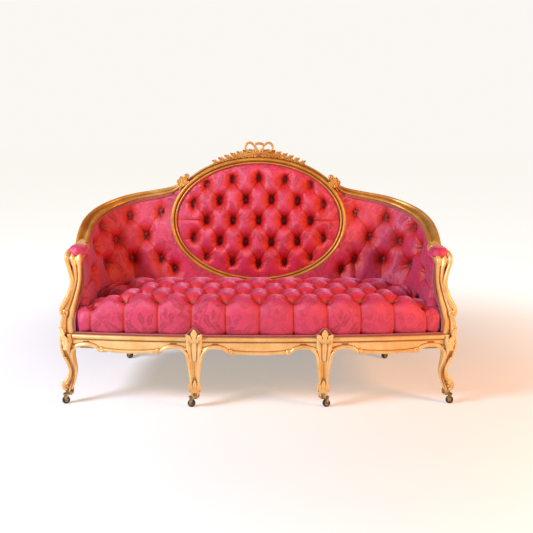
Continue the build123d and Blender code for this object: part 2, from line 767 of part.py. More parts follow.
well = extrude(well_plan(0, RAIL_TOP), amount=WELL_TOP - RAIL_TOP)
parts["seat_pad"] = seat - well

# Arm pads
arm_mid_y = (arm_y0 + arm_y1) / 2 - 2
arm_mid_x = ARM_X - ARM_W / 2 - 4
arm_pad = loft(
    [
        Pos(arm_mid_x, arm_mid_y, ARM_TOP + t * ARM_PAD_H)
        * RectangleRounded(ARM_PAD_W - inset, ARM_PAD_L - inset, 16 - inset / 4)
        for t, inset in ((0.0, 14), (0.35, 0), (0.7, 4), (0.92, 18), (1.0, 34))
    ]
)
pair("arm_pad", arm_pad)

# Crest: three ribbon loops over a garland, and a leaf on each shoulder
crest_low = oval(RING_W + ARCH_BAND, -CREST_T, CREST_T)
garland = oval(RING_W + ARCH_BAND + GARLAND, -8, CREST_T - 14) - crest_low
garland = garland & med_box(-CREST_HALF, CREST_HALF, 0, HALF_W, -HALF_W, HALF_W)
knot_v = MED_B + RING_W + ARCH_BAND + GARLAND
loop_h = CREST_TOP - knot_v
loops = Pos(0, CREST_TOP - 1.1 * loop_h, 0) * Ellipse(0.32 * BOW_HALF, 1.1 * loop_h)
for side in (-1, 1):
    loops += Pos(side * 0.52 * BOW_HALF, knot_v + 0.15 * loop_h, 0) * Rot(0, 0, side * 14) * Ellipse(
        0.5 * BOW_HALF, 0.62 * loop_h
    )
bow = medallion * extrude(Pos(0, 0, -10) * loops, amount=CREST_T) - crest_low
parts["crest_carving"] = garland + bow

leaf_v0 = ARCH_FROM - 8
leaf_mid = (leaf_v0 + LEAF_TOP) / 2
leaf_outline = [
    ThreePointArc((LEAF_X, leaf_v0), (LEAF_X + LEAF_W / 2, leaf_mid - 6), (LEAF_X + 4, LEAF_TOP)),
    ThreePointArc((LEAF_X + 4, LEAF_TOP), (LEAF_X - LEAF_W / 2, leaf_mid + 2), (LEAF_X, leaf_v0)),
]
leaf = medallion * extrude(Pos(0, 0, -LEAF_BACK) * make_face(leaf_outline), amount=LEAF_T + LEAF_BACK)
leaf = leaf - ring_hole - band_hole - rail_room
leaf = leaf.solids().sort_by(SortBy.VOLUME)[-1]
parts["shoulder_leaves"] = Compound(both([leaf]))

# Gimp braid along the front rail and the arms
GIMP_W = 11.0
GIMP_T = 5.0
gimp = front_drum(RAIL_FRONT - 2, RAIL_TOP, RAIL_TOP + GIMP_T) - front_drum(
    RAIL_FRONT - 2 - GIMP_W, RAIL_TOP, RAIL_TOP + GIMP_T
)
parts["gimp_front"] = gimp & block(-POST_IN, POST_IN, -CORNER_LEG_X, 0, RAIL_TOP, RAIL_TOP + GIMP_T)
gimp_sections = []
for s in RAIL_STATIONS[2:-1]:
    u = rail_w(s) + FIT + GIMP_T / 2
    v = ceiling(s) + 4 + GIMP_W / 2
    gimp_sections.append(wall_plane(s) * Pos(u, v) * Rectangle(GIMP_T, GIMP_W))
parts["gimp_arms"] = Compound(both([loft(gimp_sections, ruled=True)]))

# Cloths, webbing and springs under the seat
inner_side = FRAME_SIDE - SIDE_RAIL
rear_limit = Pos(0, FRAME_REAR - REAR_RAIL - ARM_X) * Rectangle(4 * ARM_X, 2 * ARM_X)
inner_half = frame_corner(SIDE_RAIL) & rear_limit
inner_half -= Pos(REAR_BLOCK_X, REAR_BLOCK_Y) * Rectangle(REAR_BLOCK_W, REAR_BLOCK_D)
front_strip = Pos(0, POST_BACK - FRONT_BOW) * Rectangle(2 * inner_side, 2 * FRONT_BOW + SEAM)
inner_plan = inner_half + mirrored(inner_half) + front_strip


def under_seat(face, z, thick):
    """A sheet between the rails."""
    pieces = [extrude(Pos(0, 0, z) * f, amount=thick) for f in face.faces()]
    sheet = pieces[0] + pieces[1:]
    return sheet & front_drum(-RAIL_REAR, z, z + thick)


mid_room = Pos(MID_LEG_X, MID_LEG_Y) * Rectangle(MID_BLOCK_W + FIT, MID_BLOCK_D + 2 * FIT + 4)
inner_plan = inner_plan - mid_room - mirrored(mid_room)
parts["dust_cover"] = under_seat(inner_plan, DUST_Z, CLOTH)
straps = []
for k in range(-4, 5):
    straps.append(Pos(k * SPRING_PITCH_X / 2, 0, WEB_Z) * Box(WEB_W, 2 * ARM_X, 2 * CLOTH))
for k in (-1, 0, 1):
    straps.append(Pos(0, WELL_MID + k * SPRING_PITCH_Y / 2, WEB_Z) * Box(2 * ARM_X, WEB_W, 2 * CLOTH))
lattice = straps[0] + straps[1:]
parts["seat_webbing"] = under_seat(inner_plan, WEB_Z, CLOTH) & lattice
parts["spring_hessian"] = extrude(well_plan(FIT, WELL_TOP - CLOTH), amount=CLOTH)

spring_z0 = WEB_Z + CLOTH + SPRING_WIRE / 2 + FIT
spring_h = WELL_TOP - CLOTH - SPRING_WIRE / 2 - FIT - spring_z0
coil = Helix(pitch=spring_h / SPRING_TURNS, height=spring_h, radius=SPRING_R)
wire = sweep(Plane(coil @ 0, z_dir=coil % 0) * Circle(SPRING_WIRE / 2), path=coil)
springs = []
for i in range(-2, 3):
    for j in (-0.5, 0.5):
        springs.append(Pos(i * SPRING_PITCH_X, WELL_MID + j * SPRING_PITCH_Y, spring_z0) * wire)
parts["seat_springs"] = Compound(springs)

# Glue blocks in the front corners of the seat frame
block_x = FRAME_SIDE - SIDE_RAIL
block_y = FRONT_Y - GLUE_BLOCK / 3
block_rear = (block_x, block_y + 1.3 * GLUE_BLOCK)
block_inner = (block_x - GLUE_BLOCK, block_y)
corner_tri = make_face(Polyline((block_x, block_y), block_rear, block_inner, close=True))
corner_block = extrude(Pos(0, 0, RAIL_LOW + 4) * corner_tri, amount=DUST_Z - RAIL_LOW - 5)
corner_block = corner_block & front_drum(-RAIL_REAR, RAIL_LOW, RAIL_TOP)
parts["corner_blocks"] = Compound(both([corner_block]))

# Casters: name, leg axis, and the way the wheel trails at rest
CASTERS = [
    ("front_left", -CORNER_LEG_X, FRONT_Y, 200.0),
    ("front_right", CORNER_LEG_X, FRONT_Y, -20.0),
    ("centre_left", -MID_LEG_X, MID_LEG_Y, 170.0),
    ("centre_right", MID_LEG_X, MID_LEG_Y, 10.0),
    ("rear_left", -REAR_FOOT_X, REAR_FOOT_Y, -15.0),
    ("rear_right", REAR_FOOT_X, REAR_FOOT_Y, 195.0),
]
CUP_LOW = LEG_END - CUP_FLOOR
cup = Pos(0, 0, CUP_LOW) * Cylinder(SPIGOT_R + RUN_FIT + CUP_WALL, CUP_H, align=UP)
cup -= Pos(0, 0, LEG_END) * Cylinder(SPIGOT_R + RUN_FIT, CUP_H, align=UP)
cup -= Pos(0, 0, CUP_LOW) * Cylinder(STEM_R + RUN_FIT, CUP_FLOOR, align=UP)
parts["caster_cups"] = Compound([Pos(x, y, 0) * cup for name, x, y, turn in CASTERS])

CROWN_TOP = CUP_LOW - THRUST
CROWN_LOW = CROWN_TOP - CROWN_H
cheek_in = WHEEL_W / 2 + CHEEK_GAP
cheek_out = cheek_in + CHEEK
fork = Pos(TRAIL / 2, 0, CROWN_LOW) * extrude(SlotCenterToCenter(TRAIL, 2 * cheek_out), amount=CROWN_H)
eye = AXLE_R + 4
for side in (-1, 1):
    y0 = min(side * cheek_in, side * cheek_out)
    fork += block(TRAIL - eye, TRAIL + eye, y0, y0 + CHEEK, WHEEL_R, CROWN_LOW + 1)
    fork += Pos(TRAIL, y0 + CHEEK / 2, WHEEL_R) * Rot(90, 0, 0) * Cylinder(eye, CHEEK)
fork -= Pos(TRAIL, 0, WHEEL_R) * Rot(90, 0, 0) * Cylinder(AXLE_R + RUN_FIT, 4 * cheek_out)
stem_top = LEG_END + THRUST / 2 + HEAD_H
fork += Pos(0, 0, CROWN_TOP) * Cylinder(STEM_R, stem_top - CROWN_TOP, align=UP)
fork += Pos(0, 0, stem_top - HEAD_H) * Cylinder(HEAD_R, HEAD_H, align=UP)

wheel = Rot(90, 0, 0) * Cylinder(WHEEL_R, WHEEL_W)
wheel = fillet(wheel.edges().filter_by(GeomType.CIRCLE), 3)
wheel -= Rot(90, 0, 0) * Cylinder(AXLE_R + RUN_FIT, 2 * WHEEL_W)
axle = Rot(90, 0, 0) * Cylinder(AXLE_R, 2 * cheek_out + 3)
for side in (-1, 1):
    axle += Pos(0, side * (cheek_out + 1.1), 0) * Rot(90, 0, 0) * Cylinder(AXLE_R + 1.5, 2)
for name, x, y, turn in CASTERS:
    place = Pos(x, y, 0) * Rot(0, 0, turn)
    hub = place * Pos(TRAIL, 0, WHEEL_R)
    parts["caster_fork_" + name] = place * fork
    parts["caster_wheel_" + name] = hub * wheel
    parts["caster_axle_" + name] = hub * axle

os.makedirs("parts", exist_ok=True)
for name, shape in parts.items():
    export_step(shape, "parts/" + name + ".step")
    print(name, len(shape.solids()), round(shape.volume / 1000.0, 2), "cm3")
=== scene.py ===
import json
import math

import bmesh
import bpy
import numpy as np
from mathutils import Matrix, Vector, kdtree


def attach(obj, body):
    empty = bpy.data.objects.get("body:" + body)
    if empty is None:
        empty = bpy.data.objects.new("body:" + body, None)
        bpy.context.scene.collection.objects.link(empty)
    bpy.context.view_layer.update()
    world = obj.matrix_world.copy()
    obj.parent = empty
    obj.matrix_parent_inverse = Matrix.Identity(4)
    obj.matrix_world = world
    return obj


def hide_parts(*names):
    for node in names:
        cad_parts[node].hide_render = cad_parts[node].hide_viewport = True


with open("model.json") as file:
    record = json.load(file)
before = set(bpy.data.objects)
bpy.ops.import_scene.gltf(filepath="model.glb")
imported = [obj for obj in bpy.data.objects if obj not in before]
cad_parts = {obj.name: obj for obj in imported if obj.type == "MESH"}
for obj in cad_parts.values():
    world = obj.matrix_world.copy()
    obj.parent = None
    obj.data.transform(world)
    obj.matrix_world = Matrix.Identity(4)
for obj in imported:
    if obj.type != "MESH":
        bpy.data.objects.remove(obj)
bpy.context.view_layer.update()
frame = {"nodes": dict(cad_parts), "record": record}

# A carved and gilt settee, deep-buttoned in crimson silk damask
# Metres: X to the viewer's right, Y to the back, Z up

# Plan of the frame
CORNER_LEG_X = 0.740
FRONT_Y = -0.2462
FRONT_BOW = 0.048
MID_LEG_X = 0.247
RAIL_TOP = 0.286
BACK_Y = FRONT_Y + 0.543
BACK_RUN = 0.470
CORNER_R = 0.265
WALL_LEAN = 0.050
ARM_LEAN = 0.007
SHELL = 0.005
PAD = 0.053
PAD_CROWN = 0.018
PAD_GAP = 0.002  # under the rail or the arm rest
PAD_INSET = 0.004  # inside the rail's inner edge
ARM_TOP = 0.598
ARM_H = 0.040
ARM_REAR = 0.156
MED_Y = FRONT_Y + 0.488
MED_Z = 0.660
MED_TILT = math.radians(7.0)
MED_A = 0.364
MED_B = 0.253
MED_CROWN = 0.046
MED_RIM = 0.004
RING_W = 0.028

ARC_LEN = CORNER_R * math.pi / 2
CORNER_CY = BACK_Y - CORNER_R
ARM_START = BACK_RUN + ARC_LEN + CORNER_CY - (FRONT_Y + ARM_REAR)
FRONT_R = (CORNER_LEG_X**2 + FRONT_BOW**2) / (2 * FRONT_BOW)
FRONT_CY = FRONT_Y - FRONT_BOW + FRONT_R


# Small helpers on arrays
def smooth_between(x, stops):
    """A smooth curve through (place, value) stops, at an array of places."""
    place, value = np.array(stops, float).T
    x = np.clip(np.asarray(x, float), place[0], place[-1])
    slope = np.empty_like(value)
    slope[1:-1] = (value[2:] - value[:-2]) / (place[2:] - place[:-2])
    slope[0] = (value[1] - value[0]) / (place[1] - place[0])
    slope[-1] = (value[-1] - value[-2]) / (place[-1] - place[-2])
    k = np.clip(np.searchsorted(place, x, "right") - 1, 0, len(place) - 2)
    span = place[k + 1] - place[k]
    t = (x - place[k]) / span
    keep = (1 + 2 * t) * (1 - t) ** 2
    bend = t * (1 - t) ** 2 * span * slope[k] - t * t * (1 - t) * span * slope[k + 1]
    return keep * value[k] + (1 - keep) * value[k + 1] + bend


def straight_between(x, stops):
    """Straight lines through (place, value) stops, at an array of places."""
    place, value = np.array(stops, float).T
    return np.interp(x, place, value)


def run_along(points):
    """Distance along a row of points to each of them."""
    step = np.linalg.norm(np.diff(points, axis=0), axis=1)
    return np.concatenate([[0.0], np.cumsum(step)])


def curve(points, count):
    """A smooth line through points, and the share of its length at each of its places."""
    points = np.array(points, float)
    place = run_along(points)
    t = np.linspace(0.0, place[-1], count)
    line = [smooth_between(t, np.stack([place, column], axis=1)) for column in points.T]
    return np.stack(line, axis=-1), t / place[-1]


def stack(x, y, z):
    """Three arrays as one array of points."""
    return np.stack(np.broadcast_arrays(x, y, z), axis=-1).astype(float)


def unit(v):
    return v / np.maximum(np.linalg.norm(v, axis=-1, keepdims=True), 1e-9)


def front_y(x, out=0.0):
    """The bowed front line at x, moved forward by out."""
    return FRONT_CY - np.sqrt((FRONT_R + out) ** 2 - np.asarray(x, float) ** 2)


# The back wall: s runs along it from the middle of the back, u goes inwards from its outer line
RAIL_START = 0.345
RISE = [
    (RAIL_START, 0.832),
    (0.385, 0.808),
    (0.470, 0.790),
    (0.590, 0.770),
    (0.740, 0.730),
    (0.840, 0.695),
    (0.930, 0.663),
    (0.975, 0.636),
    (ARM_START, ARM_TOP + 0.006),
]
LEAN = [
    (BACK_RUN, WALL_LEAN),
    (BACK_RUN + 0.3 * ARC_LEN, 0.5 * WALL_LEAN + 0.002),
    (BACK_RUN + 0.5 * ARC_LEN, 0.3 * WALL_LEAN + 0.005),
    (BACK_RUN + ARC_LEN, ARM_LEAN),
]


def wall_axes(s):
    """Outer point and inward direction of the wall's plan at s."""
    s = np.asarray(s, float)
    a = np.clip((s - BACK_RUN) / CORNER_R, 0.0, math.pi / 2)
    x = np.minimum(s, BACK_RUN) + CORNER_R * np.sin(a)
    y = CORNER_CY + CORNER_R * np.cos(a) - np.maximum(s - BACK_RUN - ARC_LEN, 0.0)
    return x, y, -np.sin(a), -np.cos(a)


def wall_inward(s):
    """Unit vectors that point into the room from the wall at s."""
    in_x, in_y = wall_axes(s)[2:]
    return stack(in_x, in_y, 0.0 * in_x)


def wall(s, u, z):
    """The point at s along the wall, u inwards and z up, on the viewer's right."""
    x, y, in_x, in_y = wall_axes(s)
    return stack(x + u * in_x, y + u * in_y, z)


def rail_top(s):
    return smooth_between(s, RISE)


def rail_w(s):
    return straight_between(s, [(RAIL_START, 0.030), (ARM_START, 0.046)])


def rail_h(s):
    return straight_between(s, [(RAIL_START, 0.028), (ARM_START, 0.038)])


def ceiling(s):
    """Underside of what covers the wall: the top rail, or the arm rest."""
    s = np.asarray(s, float)
    return np.where(s >= ARM_START, ARM_TOP - ARM_H, rail_top(s) - rail_h(s))


def outer(s, z):
    """How far inside the outer line the leaning outer face is at height z."""
    top = ceiling(s)
    return straight_between(s, LEAN) * (top - z) / (top - RAIL_TOP)


def pad_u(s, z):
    """Where the swelling inner face of the wall upholstery lies."""
    top = ceiling(s) - PAD_GAP
    low_u = outer(s, RAIL_TOP) + SHELL + PAD
    high_u = rail_w(s) - PAD_INSET
    t = (z - RAIL_TOP) / (top - RAIL_TOP)
    return low_u + (high_u - low_u) * t + 4 * PAD_CROWN * t * (1 - t)


# The medallion's plane: u to the right, v up the slope, w forwards
MED_UP = np.array([0.0, math.sin(MED_TILT), math.cos(MED_TILT)])
MED_OUT = np.array([0.0, -math.cos(MED_TILT), math.sin(MED_TILT)])


def on_medallion(u, v, w):
    uvw = stack(u, v, w)
    middle = np.array([0.0, MED_Y, MED_Z])
    across = np.array([1.0, 0.0, 0.0])
    return middle + uvw[..., :1] * across + uvw[..., 1:2] * MED_UP + uvw[..., 2:] * MED_OUT


# Node trees
class Tree:
    """A material's nodes, with short calls for the ones used here."""

    def __init__(self, name):
        self.material = bpy.data.materials.new(name)
        self.material.use_nodes = True
        self.nodes = self.material.node_tree.nodes
        self.links = self.material.node_tree.links
        self.shader = self.nodes["Principled BSDF"]

    def put(self, socket, value):
        """A link where value is a socket, otherwise a constant."""
        if isinstance(value, bpy.types.NodeSocket):
            self.links.new(value, socket)
        else:
            socket.default_value = value

    def node(self, kind, out=0, settings=None, **inputs):
        made = self.nodes.new("ShaderNode" + kind)
        for key, value in (settings or {}).items():
            setattr(made, key, value)
        for key, value in inputs.items():
            self.put(made.inputs[key.replace("_", " ")], value)
        return made.outputs[out]

    def math(self, operation, a, b=0.0, c=0.0):
        made = self.nodes.new("ShaderNodeMath")
        made.operation = operation
        for socket, value in zip(made.inputs, (a, b, c)):
            self.put(socket, value)
        return made.outputs[0]

    def ramp(self, value, low, high, to_low=0.0, to_high=1.0):
        """Smooth step from to_low at low to to_high at high."""
        made = self.nodes.new("ShaderNodeMapRange")
        made.interpolation_type = "SMOOTHSTEP"
        self.put(made.inputs["Value"], value)
        keys = ("From Min", "From Max", "To Min", "To Max")
        for key, number in zip(keys, (low, high, to_low, to_high)):
            made.inputs[key].default_value = number
        return made.outputs["Result"]

    def mix(self, share, a, b):
        made = self.nodes.new("ShaderNodeMix")
        made.data_type = "RGBA"
        for socket, value in zip((made.inputs[0], made.inputs[6], made.inputs[7]), (share, a, b)):
            self.put(socket, value)
        return made.outputs[2]

    def set(self, **inputs):
        for key, value in inputs.items():
            self.put(self.shader.inputs[key.replace("_", " ")], value)

    def bump(self, height, strength, distance):
        made = self.node("Bump", Strength=strength, Distance=distance, Height=height)
        self.put(self.shader.inputs["Normal"], made)


def rgb(red, green, blue):
    return (red, green, blue, 1.0)


# Silk damask: a half-drop lattice of flowers with leaves and stems between them
CELL_W = 0.150
CELL_H = 0.196
FIGURE_SCALE = 1.10
FLOWER_UP = 0.012  # the flower's middle above that of its cell
# Leaves on one half of a cell: middle, turn, half length and half width
LEAVES = (
    ((0.052, 0.046), 0.9, 0.032, 0.012),
    ((0.030, -0.052), -0.7, 0.034, 0.013),
    ((0.062, -0.020), 1.9, 0.026, 0.010),
    ((0.016, 0.078), 1.2, 0.022, 0.009),
)


def petals(t, x, y, radius, count, wave, turn=0.0):
    """One inside a flower of so many petals at the origin of x and y, zero outside."""
    r = t.math("SQRT", t.math("ADD", t.math("MULTIPLY", x, x), t.math("MULTIPLY", y, y)))
    angle = t.math("ARCTAN2", y, x)
    lobe = t.math("ABSOLUTE", t.math("COSINE", t.math("MULTIPLY_ADD", angle, count / 2, turn)))
    edge = t.math("MULTIPLY_ADD", lobe, radius * wave, radius * (1 - wave))
    return t.ramp(t.math("SUBTRACT", edge, r), -0.0012, 0.0012)


def leaf_mask(t, x, y, place, turn, length, width):
    """One inside a toothed leaf, zero outside."""
    dx = t.math("SUBTRACT", x, place[0])
    dy = t.math("SUBTRACT", y, place[1])
    c, s = math.cos(turn), math.sin(turn)
    along = t.math("ADD", t.math("MULTIPLY", dx, c / length), t.math("MULTIPLY", dy, s / length))
    across = t.math("ADD", t.math("MULTIPLY", dx, -s / width), t.math("MULTIPLY", dy, c / width))
    teeth = t.math("MULTIPLY", t.math("SINE", t.math("MULTIPLY", along, 15.0)), 0.22)
    body = t.math("ADD", t.math("MULTIPLY", along, along), t.math("MULTIPLY", across, across))
    rib = t.ramp(t.math("ABSOLUTE", across), 0.05, 0.16)
    return t.math("MULTIPLY", t.ramp(t.math("ADD", body, teeth), 1.08, 0.92), rib)


def damask(t):
    """The piece's UV map, in metres, and the damask on it: one on the figure, zero on the ground."""
    uv = t.node("UVMap")
    sway = t.node("TexNoise", out=1, Vector=uv, Scale=26.0, Detail=5.0, Roughness=0.6)
    shift = t.node("VectorMath", settings={"operation": "MULTIPLY_ADD"})
    made = shift.node
    t.put(made.inputs[0], sway)
    made.inputs[1].default_value = (0.034, 0.034, 0.0)
    t.put(made.inputs[2], uv)
    sized = t.node("Mapping", Vector=shift)
    sized.node.inputs["Scale"].default_value = (1 / FIGURE_SCALE,) * 3
    parts = t.node("SeparateXYZ", Vector=sized).node
    px = t.math("DIVIDE", parts.outputs[0], CELL_W)
    column = t.math("FLOOR", px)
    drop = t.math("MULTIPLY", t.math("MODULO", t.math("ABSOLUTE", column), 2.0), 0.5)
    py = t.math("ADD", t.math("DIVIDE", parts.outputs[1], CELL_H), drop)
    x = t.math("MULTIPLY", t.math("SUBTRACT", t.math("FRACT", px), 0.5), CELL_W)
    y = t.math("MULTIPLY", t.math("SUBTRACT", t.math("FRACT", py), 0.5), CELL_H)
    side = t.math("ABSOLUTE", x)
    flower_y = t.math("ADD", y, -FLOWER_UP)
    flower = petals(t, x, flower_y, 0.043, 7, 0.34)
    heart = petals(t, x, flower_y, 0.024, 5, 0.30, 0.6)
    eye = petals(t, x, flower_y, 0.010, 4, 0.25)
    bloom = t.math("ADD", t.math("SUBTRACT", flower, t.math("MULTIPLY", heart, 0.75)), eye)
    corner_x = t.math("SUBTRACT", CELL_W / 2, side)
    corner_y = t.math("SUBTRACT", CELL_H / 2, t.math("ABSOLUTE", y))
    bud = petals(t, corner_x, corner_y, 0.021, 6, 0.30)
    stem_x = t.math("MULTIPLY_ADD", t.math("SINE", t.math("MULTIPLY", y, 34.0)), 0.014, 0.046)
    stem = t.ramp(t.math("ABSOLUTE", t.math("SUBTRACT", side, stem_x)), 0.0028, 0.0014)
    figure = t.math("MAXIMUM", bloom, t.math("MAXIMUM", bud, t.math("MULTIPLY", stem, 0.8)))
    for place, turn, length, width in LEAVES:
        figure = t.math("MAXIMUM", figure, leaf_mask(t, side, y, place, turn, length, width))
    return uv, figure


def silk_damask():
    """Crimson satin with a darker matt figure and a rosy sheen; painted shade makes it orange-red and
    then dark in its folds.
    """
    t = Tree("silk_damask")
    uv, figure = damask(t)
    cloud = t.node("TexNoise", Vector=uv, Scale=9.0, Detail=4.0)
    thin = t.ramp(t.node("TexNoise", Vector=uv, Scale=70.0, Detail=4.0), 0.34, 0.46, 0.40, 1.0)
    worn = t.ramp(t.node("TexNoise", Vector=uv, Scale=5.0, Detail=2.0), 0.35, 0.65, 0.30, 1.0)
    shown = t.math("MULTIPLY", t.math("MULTIPLY", figure, worn), thin)
    ground = t.mix(cloud, rgb(0.50, 0.012, 0.062), rgb(0.62, 0.028, 0.110))
    matt = t.mix(cloud, rgb(0.32, 0.004, 0.028), rgb(0.41, 0.010, 0.050))
    # Painted shade: the drawn mask turns the silk orange-red round the pits and pleats, with less sheen
    # there
    fold = t.node("Attribute", out=2, settings={"attribute_name": "drawn"})
    painted_warm_shade = t.ramp(fold, 0.08, 0.40)
    # deep is the dark painted shade at the bottom of the pits and pleats
    deep = t.ramp(fold, 0.42, 0.95)
    cloth = t.mix(t.math("MULTIPLY", painted_warm_shade, 0.9), t.mix(shown, ground, matt), rgb(0.56, 0.008, 0.005))
    t.set(Base_Color=t.mix(deep, cloth, rgb(0.26, 0.001, 0.002)))
    t.set(Roughness=t.ramp(shown, 0.0, 1.0, 0.42, 0.60), Specular_IOR_Level=0.70)
    t.set(Sheen_Weight=t.ramp(painted_warm_shade, 0.0, 1.0, 0.95, 0.10))
    t.set(Sheen_Roughness=0.36, Sheen_Tint=rgb(1.0, 0.50, 0.82))
    rib = t.node("TexWave", Vector=uv, Scale=420.0, Distortion=0.6, settings={"bands_direction": "Y"})
    crumple = t.node("TexNoise", Vector=uv, Scale=40.0, Detail=6.0, Roughness=0.58, Distortion=1.1)
    height = t.math("ADD", t.math("MULTIPLY", figure, 0.10), t.math("MULTIPLY", rib, 0.05))
    t.bump(t.math("ADD", height, crumple), 0.75, 0.0040)
    return t.material


def plain_cloth(name, dark, light, threads, rough):
    """A plain woven cloth on Object coordinates."""
    t = Tree(name)
    place = t.node("TexCoord", out=3)
    warp = t.node("TexWave", Vector=place, Scale=threads, Distortion=0.8)
    upright = {"bands_direction": "Z"}
    weft = t.node("TexWave", Vector=place, Scale=threads, Distortion=0.8, settings=upright)
    mottle = t.node("TexNoise", Vector=place, Scale=60.0, Detail=4.0)
    weave = t.math("MULTIPLY", t.math("ADD", warp, weft), 0.5)
    t.set(Base_Color=t.mix(t.math("MULTIPLY", t.math("ADD", weave, mottle), 0.5), dark, light))
    t.set(Roughness=t.ramp(weave, 0.0, 1.0, rough - 0.08, rough + 0.08), Sheen_Weight=0.2)
    t.bump(weave, 0.3, 0.0005)
    return t.material


def gilt_wood(name, pale, deep, bole):
    """Water gilding: pale leaf on high places, rubbed through to red bole, and brown painted shade in the
    hollows.
    """
    t = Tree(name)
    place = t.node("TexCoord", out=3)
    cloud = t.node("TexNoise", Vector=place, Scale=14.0, Detail=5.0, Roughness=0.6)
    rub = t.node("TexNoise", Vector=place, Scale=90.0, Detail=6.0, Roughness=0.7)
    leaf = t.mix(t.ramp(cloud, 0.35, 0.65), pale, deep)
    # Painted shade: ambient occlusion and the hollow mask darken the gilding to brown
    shade = t.node("AmbientOcclusion", out=1, Distance=0.016, settings={"samples": 6})
    dip = t.node("Attribute", out=2, settings={"attribute_name": "hollow"})
    worn = t.math("MULTIPLY", t.ramp(rub, 0.58, 0.70), 0.45)
    gold = t.mix(worn, leaf, bole)
    dark = t.math("MAXIMUM", t.ramp(shade, 0.72, 0.25, 0.0, 0.8), t.ramp(dip, 0.03, 0.26, 0.0, 0.92))
    # Brown painted shade where the carving is occluded or folds in
    gold = t.mix(dark, gold, rgb(0.30, 0.095, 0.016))
    t.set(Base_Color=gold, Metallic=0.40)
    t.set(Roughness=t.ramp(rub, 0.3, 0.7, 0.30, 0.46))
    grain = t.math("ADD", t.math("MULTIPLY", cloud, 0.5), t.math("MULTIPLY", rub, 0.5))
    t.bump(grain, 0.30, 0.0010)
    return t.material


def worn_metal(name, bright, dull, metallic, rough):
    """Handled brass or dark wheel stock, duller in patches."""
    t = Tree(name)
    place = t.node("TexCoord", out=3)
    patch = t.node("TexNoise", Vector=place, Scale=120.0, Detail=5.0, Roughness=0.65)
    t.set(Base_Color=t.mix(t.ramp(patch, 0.40, 0.62), bright, dull), Metallic=metallic)
    t.set(Roughness=t.ramp(patch, 0.3, 0.7, rough - 0.1, rough + 0.15))
    t.bump(patch, 0.2, 0.0004)
    return t.material


def bare_wood(name, light, dark):
    """Unfinished wood with long grain along X."""
    t = Tree(name)
    place = t.node("TexCoord", out=3)
    stretched = t.node("Mapping", Vector=place)
    stretched.node.inputs["Scale"].default_value = (2.0, 26.0, 26.0)
    grain = t.node("TexNoise", Vector=stretched, Scale=3.0, Detail=6.0, Roughness=0.65)
    t.set(Base_Color=t.mix(t.ramp(grain, 0.3, 0.7), light, dark))
    t.set(Roughness=t.ramp(grain, 0.3, 0.7, 0.5, 0.7))
    t.bump(grain, 0.3, 0.0006)
    return t.material


SILK = silk_damask()
GILT = gilt_wood("gilt_wood", rgb(0.84, 0.58, 0.25), rgb(0.74, 0.45, 0.15), rgb(0.54, 0.19, 0.05))
# A darker, shaded copy of the gilding: painted shade on the ring, wing rails, crest and shoulder leaves
SHADED_GILT = gilt_wood(
    "gilt_wood_shaded", rgb(0.62, 0.35, 0.08), rgb(0.50, 0.23, 0.036), rgb(0.40, 0.10, 0.02)
)
BRASS = worn_metal("aged_brass", rgb(0.48, 0.33, 0.13), rgb(0.13, 0.085, 0.04), 0.9, 0.38)
WHEEL = worn_metal("black_wheel", rgb(0.012, 0.014, 0.018), rgb(0.04, 0.045, 0.05), 0.0, 0.40)
STEEL = worn_metal("spring_wire", rgb(0.32, 0.31, 0.30), rgb(0.16, 0.12, 0.09), 0.9, 0.40)
BEECH = bare_wood("bare_beech", rgb(0.52, 0.34, 0.17), rgb(0.34, 0.19, 0.08))
HESSIAN = plain_cloth("hessian", rgb(0.30, 0.20, 0.10), rgb(0.52, 0.38, 0.21), 260.0, 0.85)
WEB = plain_cloth("webbing", rgb(0.34, 0.27, 0.18), rgb(0.58, 0.48, 0.33), 320.0, 0.82)
OUTBACK = plain_cloth("back_cloth", rgb(0.30, 0.012, 0.030), rgb(0.44, 0.022, 0.050), 420.0, 0.62)
# The buttons' silk is far darker than the damask: painted shade at the bottom of the pits
BUTTON_CLOTH = plain_cloth("button_silk", rgb(0.22, 0.002, 0.005), rgb(0.32, 0.004, 0.009), 420.0, 0.75)
BRAID = plain_cloth("gimp_braid", rgb(0.26, 0.045, 0.045), rgb(0.46, 0.14, 0.12), 520.0, 0.66)


# Meshes from arrays of points
def grid_mesh(name, points, uv=None, drawn=None):
    """A mesh of quads over rows and columns of points, with an optional UV map and depth of folds, which
    the silk uses for painted shade.
    """
    rows, cols = points.shape[:2]
    bm = bmesh.new()
    bmesh.ops.create_grid(bm, x_segments=cols - 1, y_segments=rows - 1, size=0.5)
    mesh = bpy.data.meshes.new(name)
    bm.to_mesh(mesh)
    bm.free()
    flat = np.empty(len(mesh.vertices) * 3)
    mesh.vertices.foreach_get("co", flat)
    flat = flat.reshape(-1, 3)
    col = np.rint((flat[:, 0] + 0.5) * (cols - 1)).astype(int)
    row = np.rint((flat[:, 1] + 0.5) * (rows - 1)).astype(int)
    mesh.vertices.foreach_set("co", points[row, col].ravel())
    if uv is not None:
        corner = np.empty(len(mesh.loops), int)
        mesh.loops.foreach_get("vertex_index", corner)
        layer = mesh.uv_layers.new(name="UVMap")
        layer.data.foreach_set("uv", uv[row[corner], col[corner]].ravel())
    if drawn is not None:
        layer = mesh.attributes.new("drawn", "FLOAT", "POINT")
        layer.data.foreach_set("value", drawn[row, col].ravel())
    mesh.update()
    return mesh


def joined(name, grids):
    """One mesh of several grids, each given as the arguments of grid_mesh."""
    bm = bmesh.new()
    for grid in grids:
        part = grid_mesh(name, *grid)
        bm.from_mesh(part)
        bpy.data.meshes.remove(part)
    mesh = bpy.data.meshes.new(name)
    bm.to_mesh(mesh)
    bm.free()
    return mesh


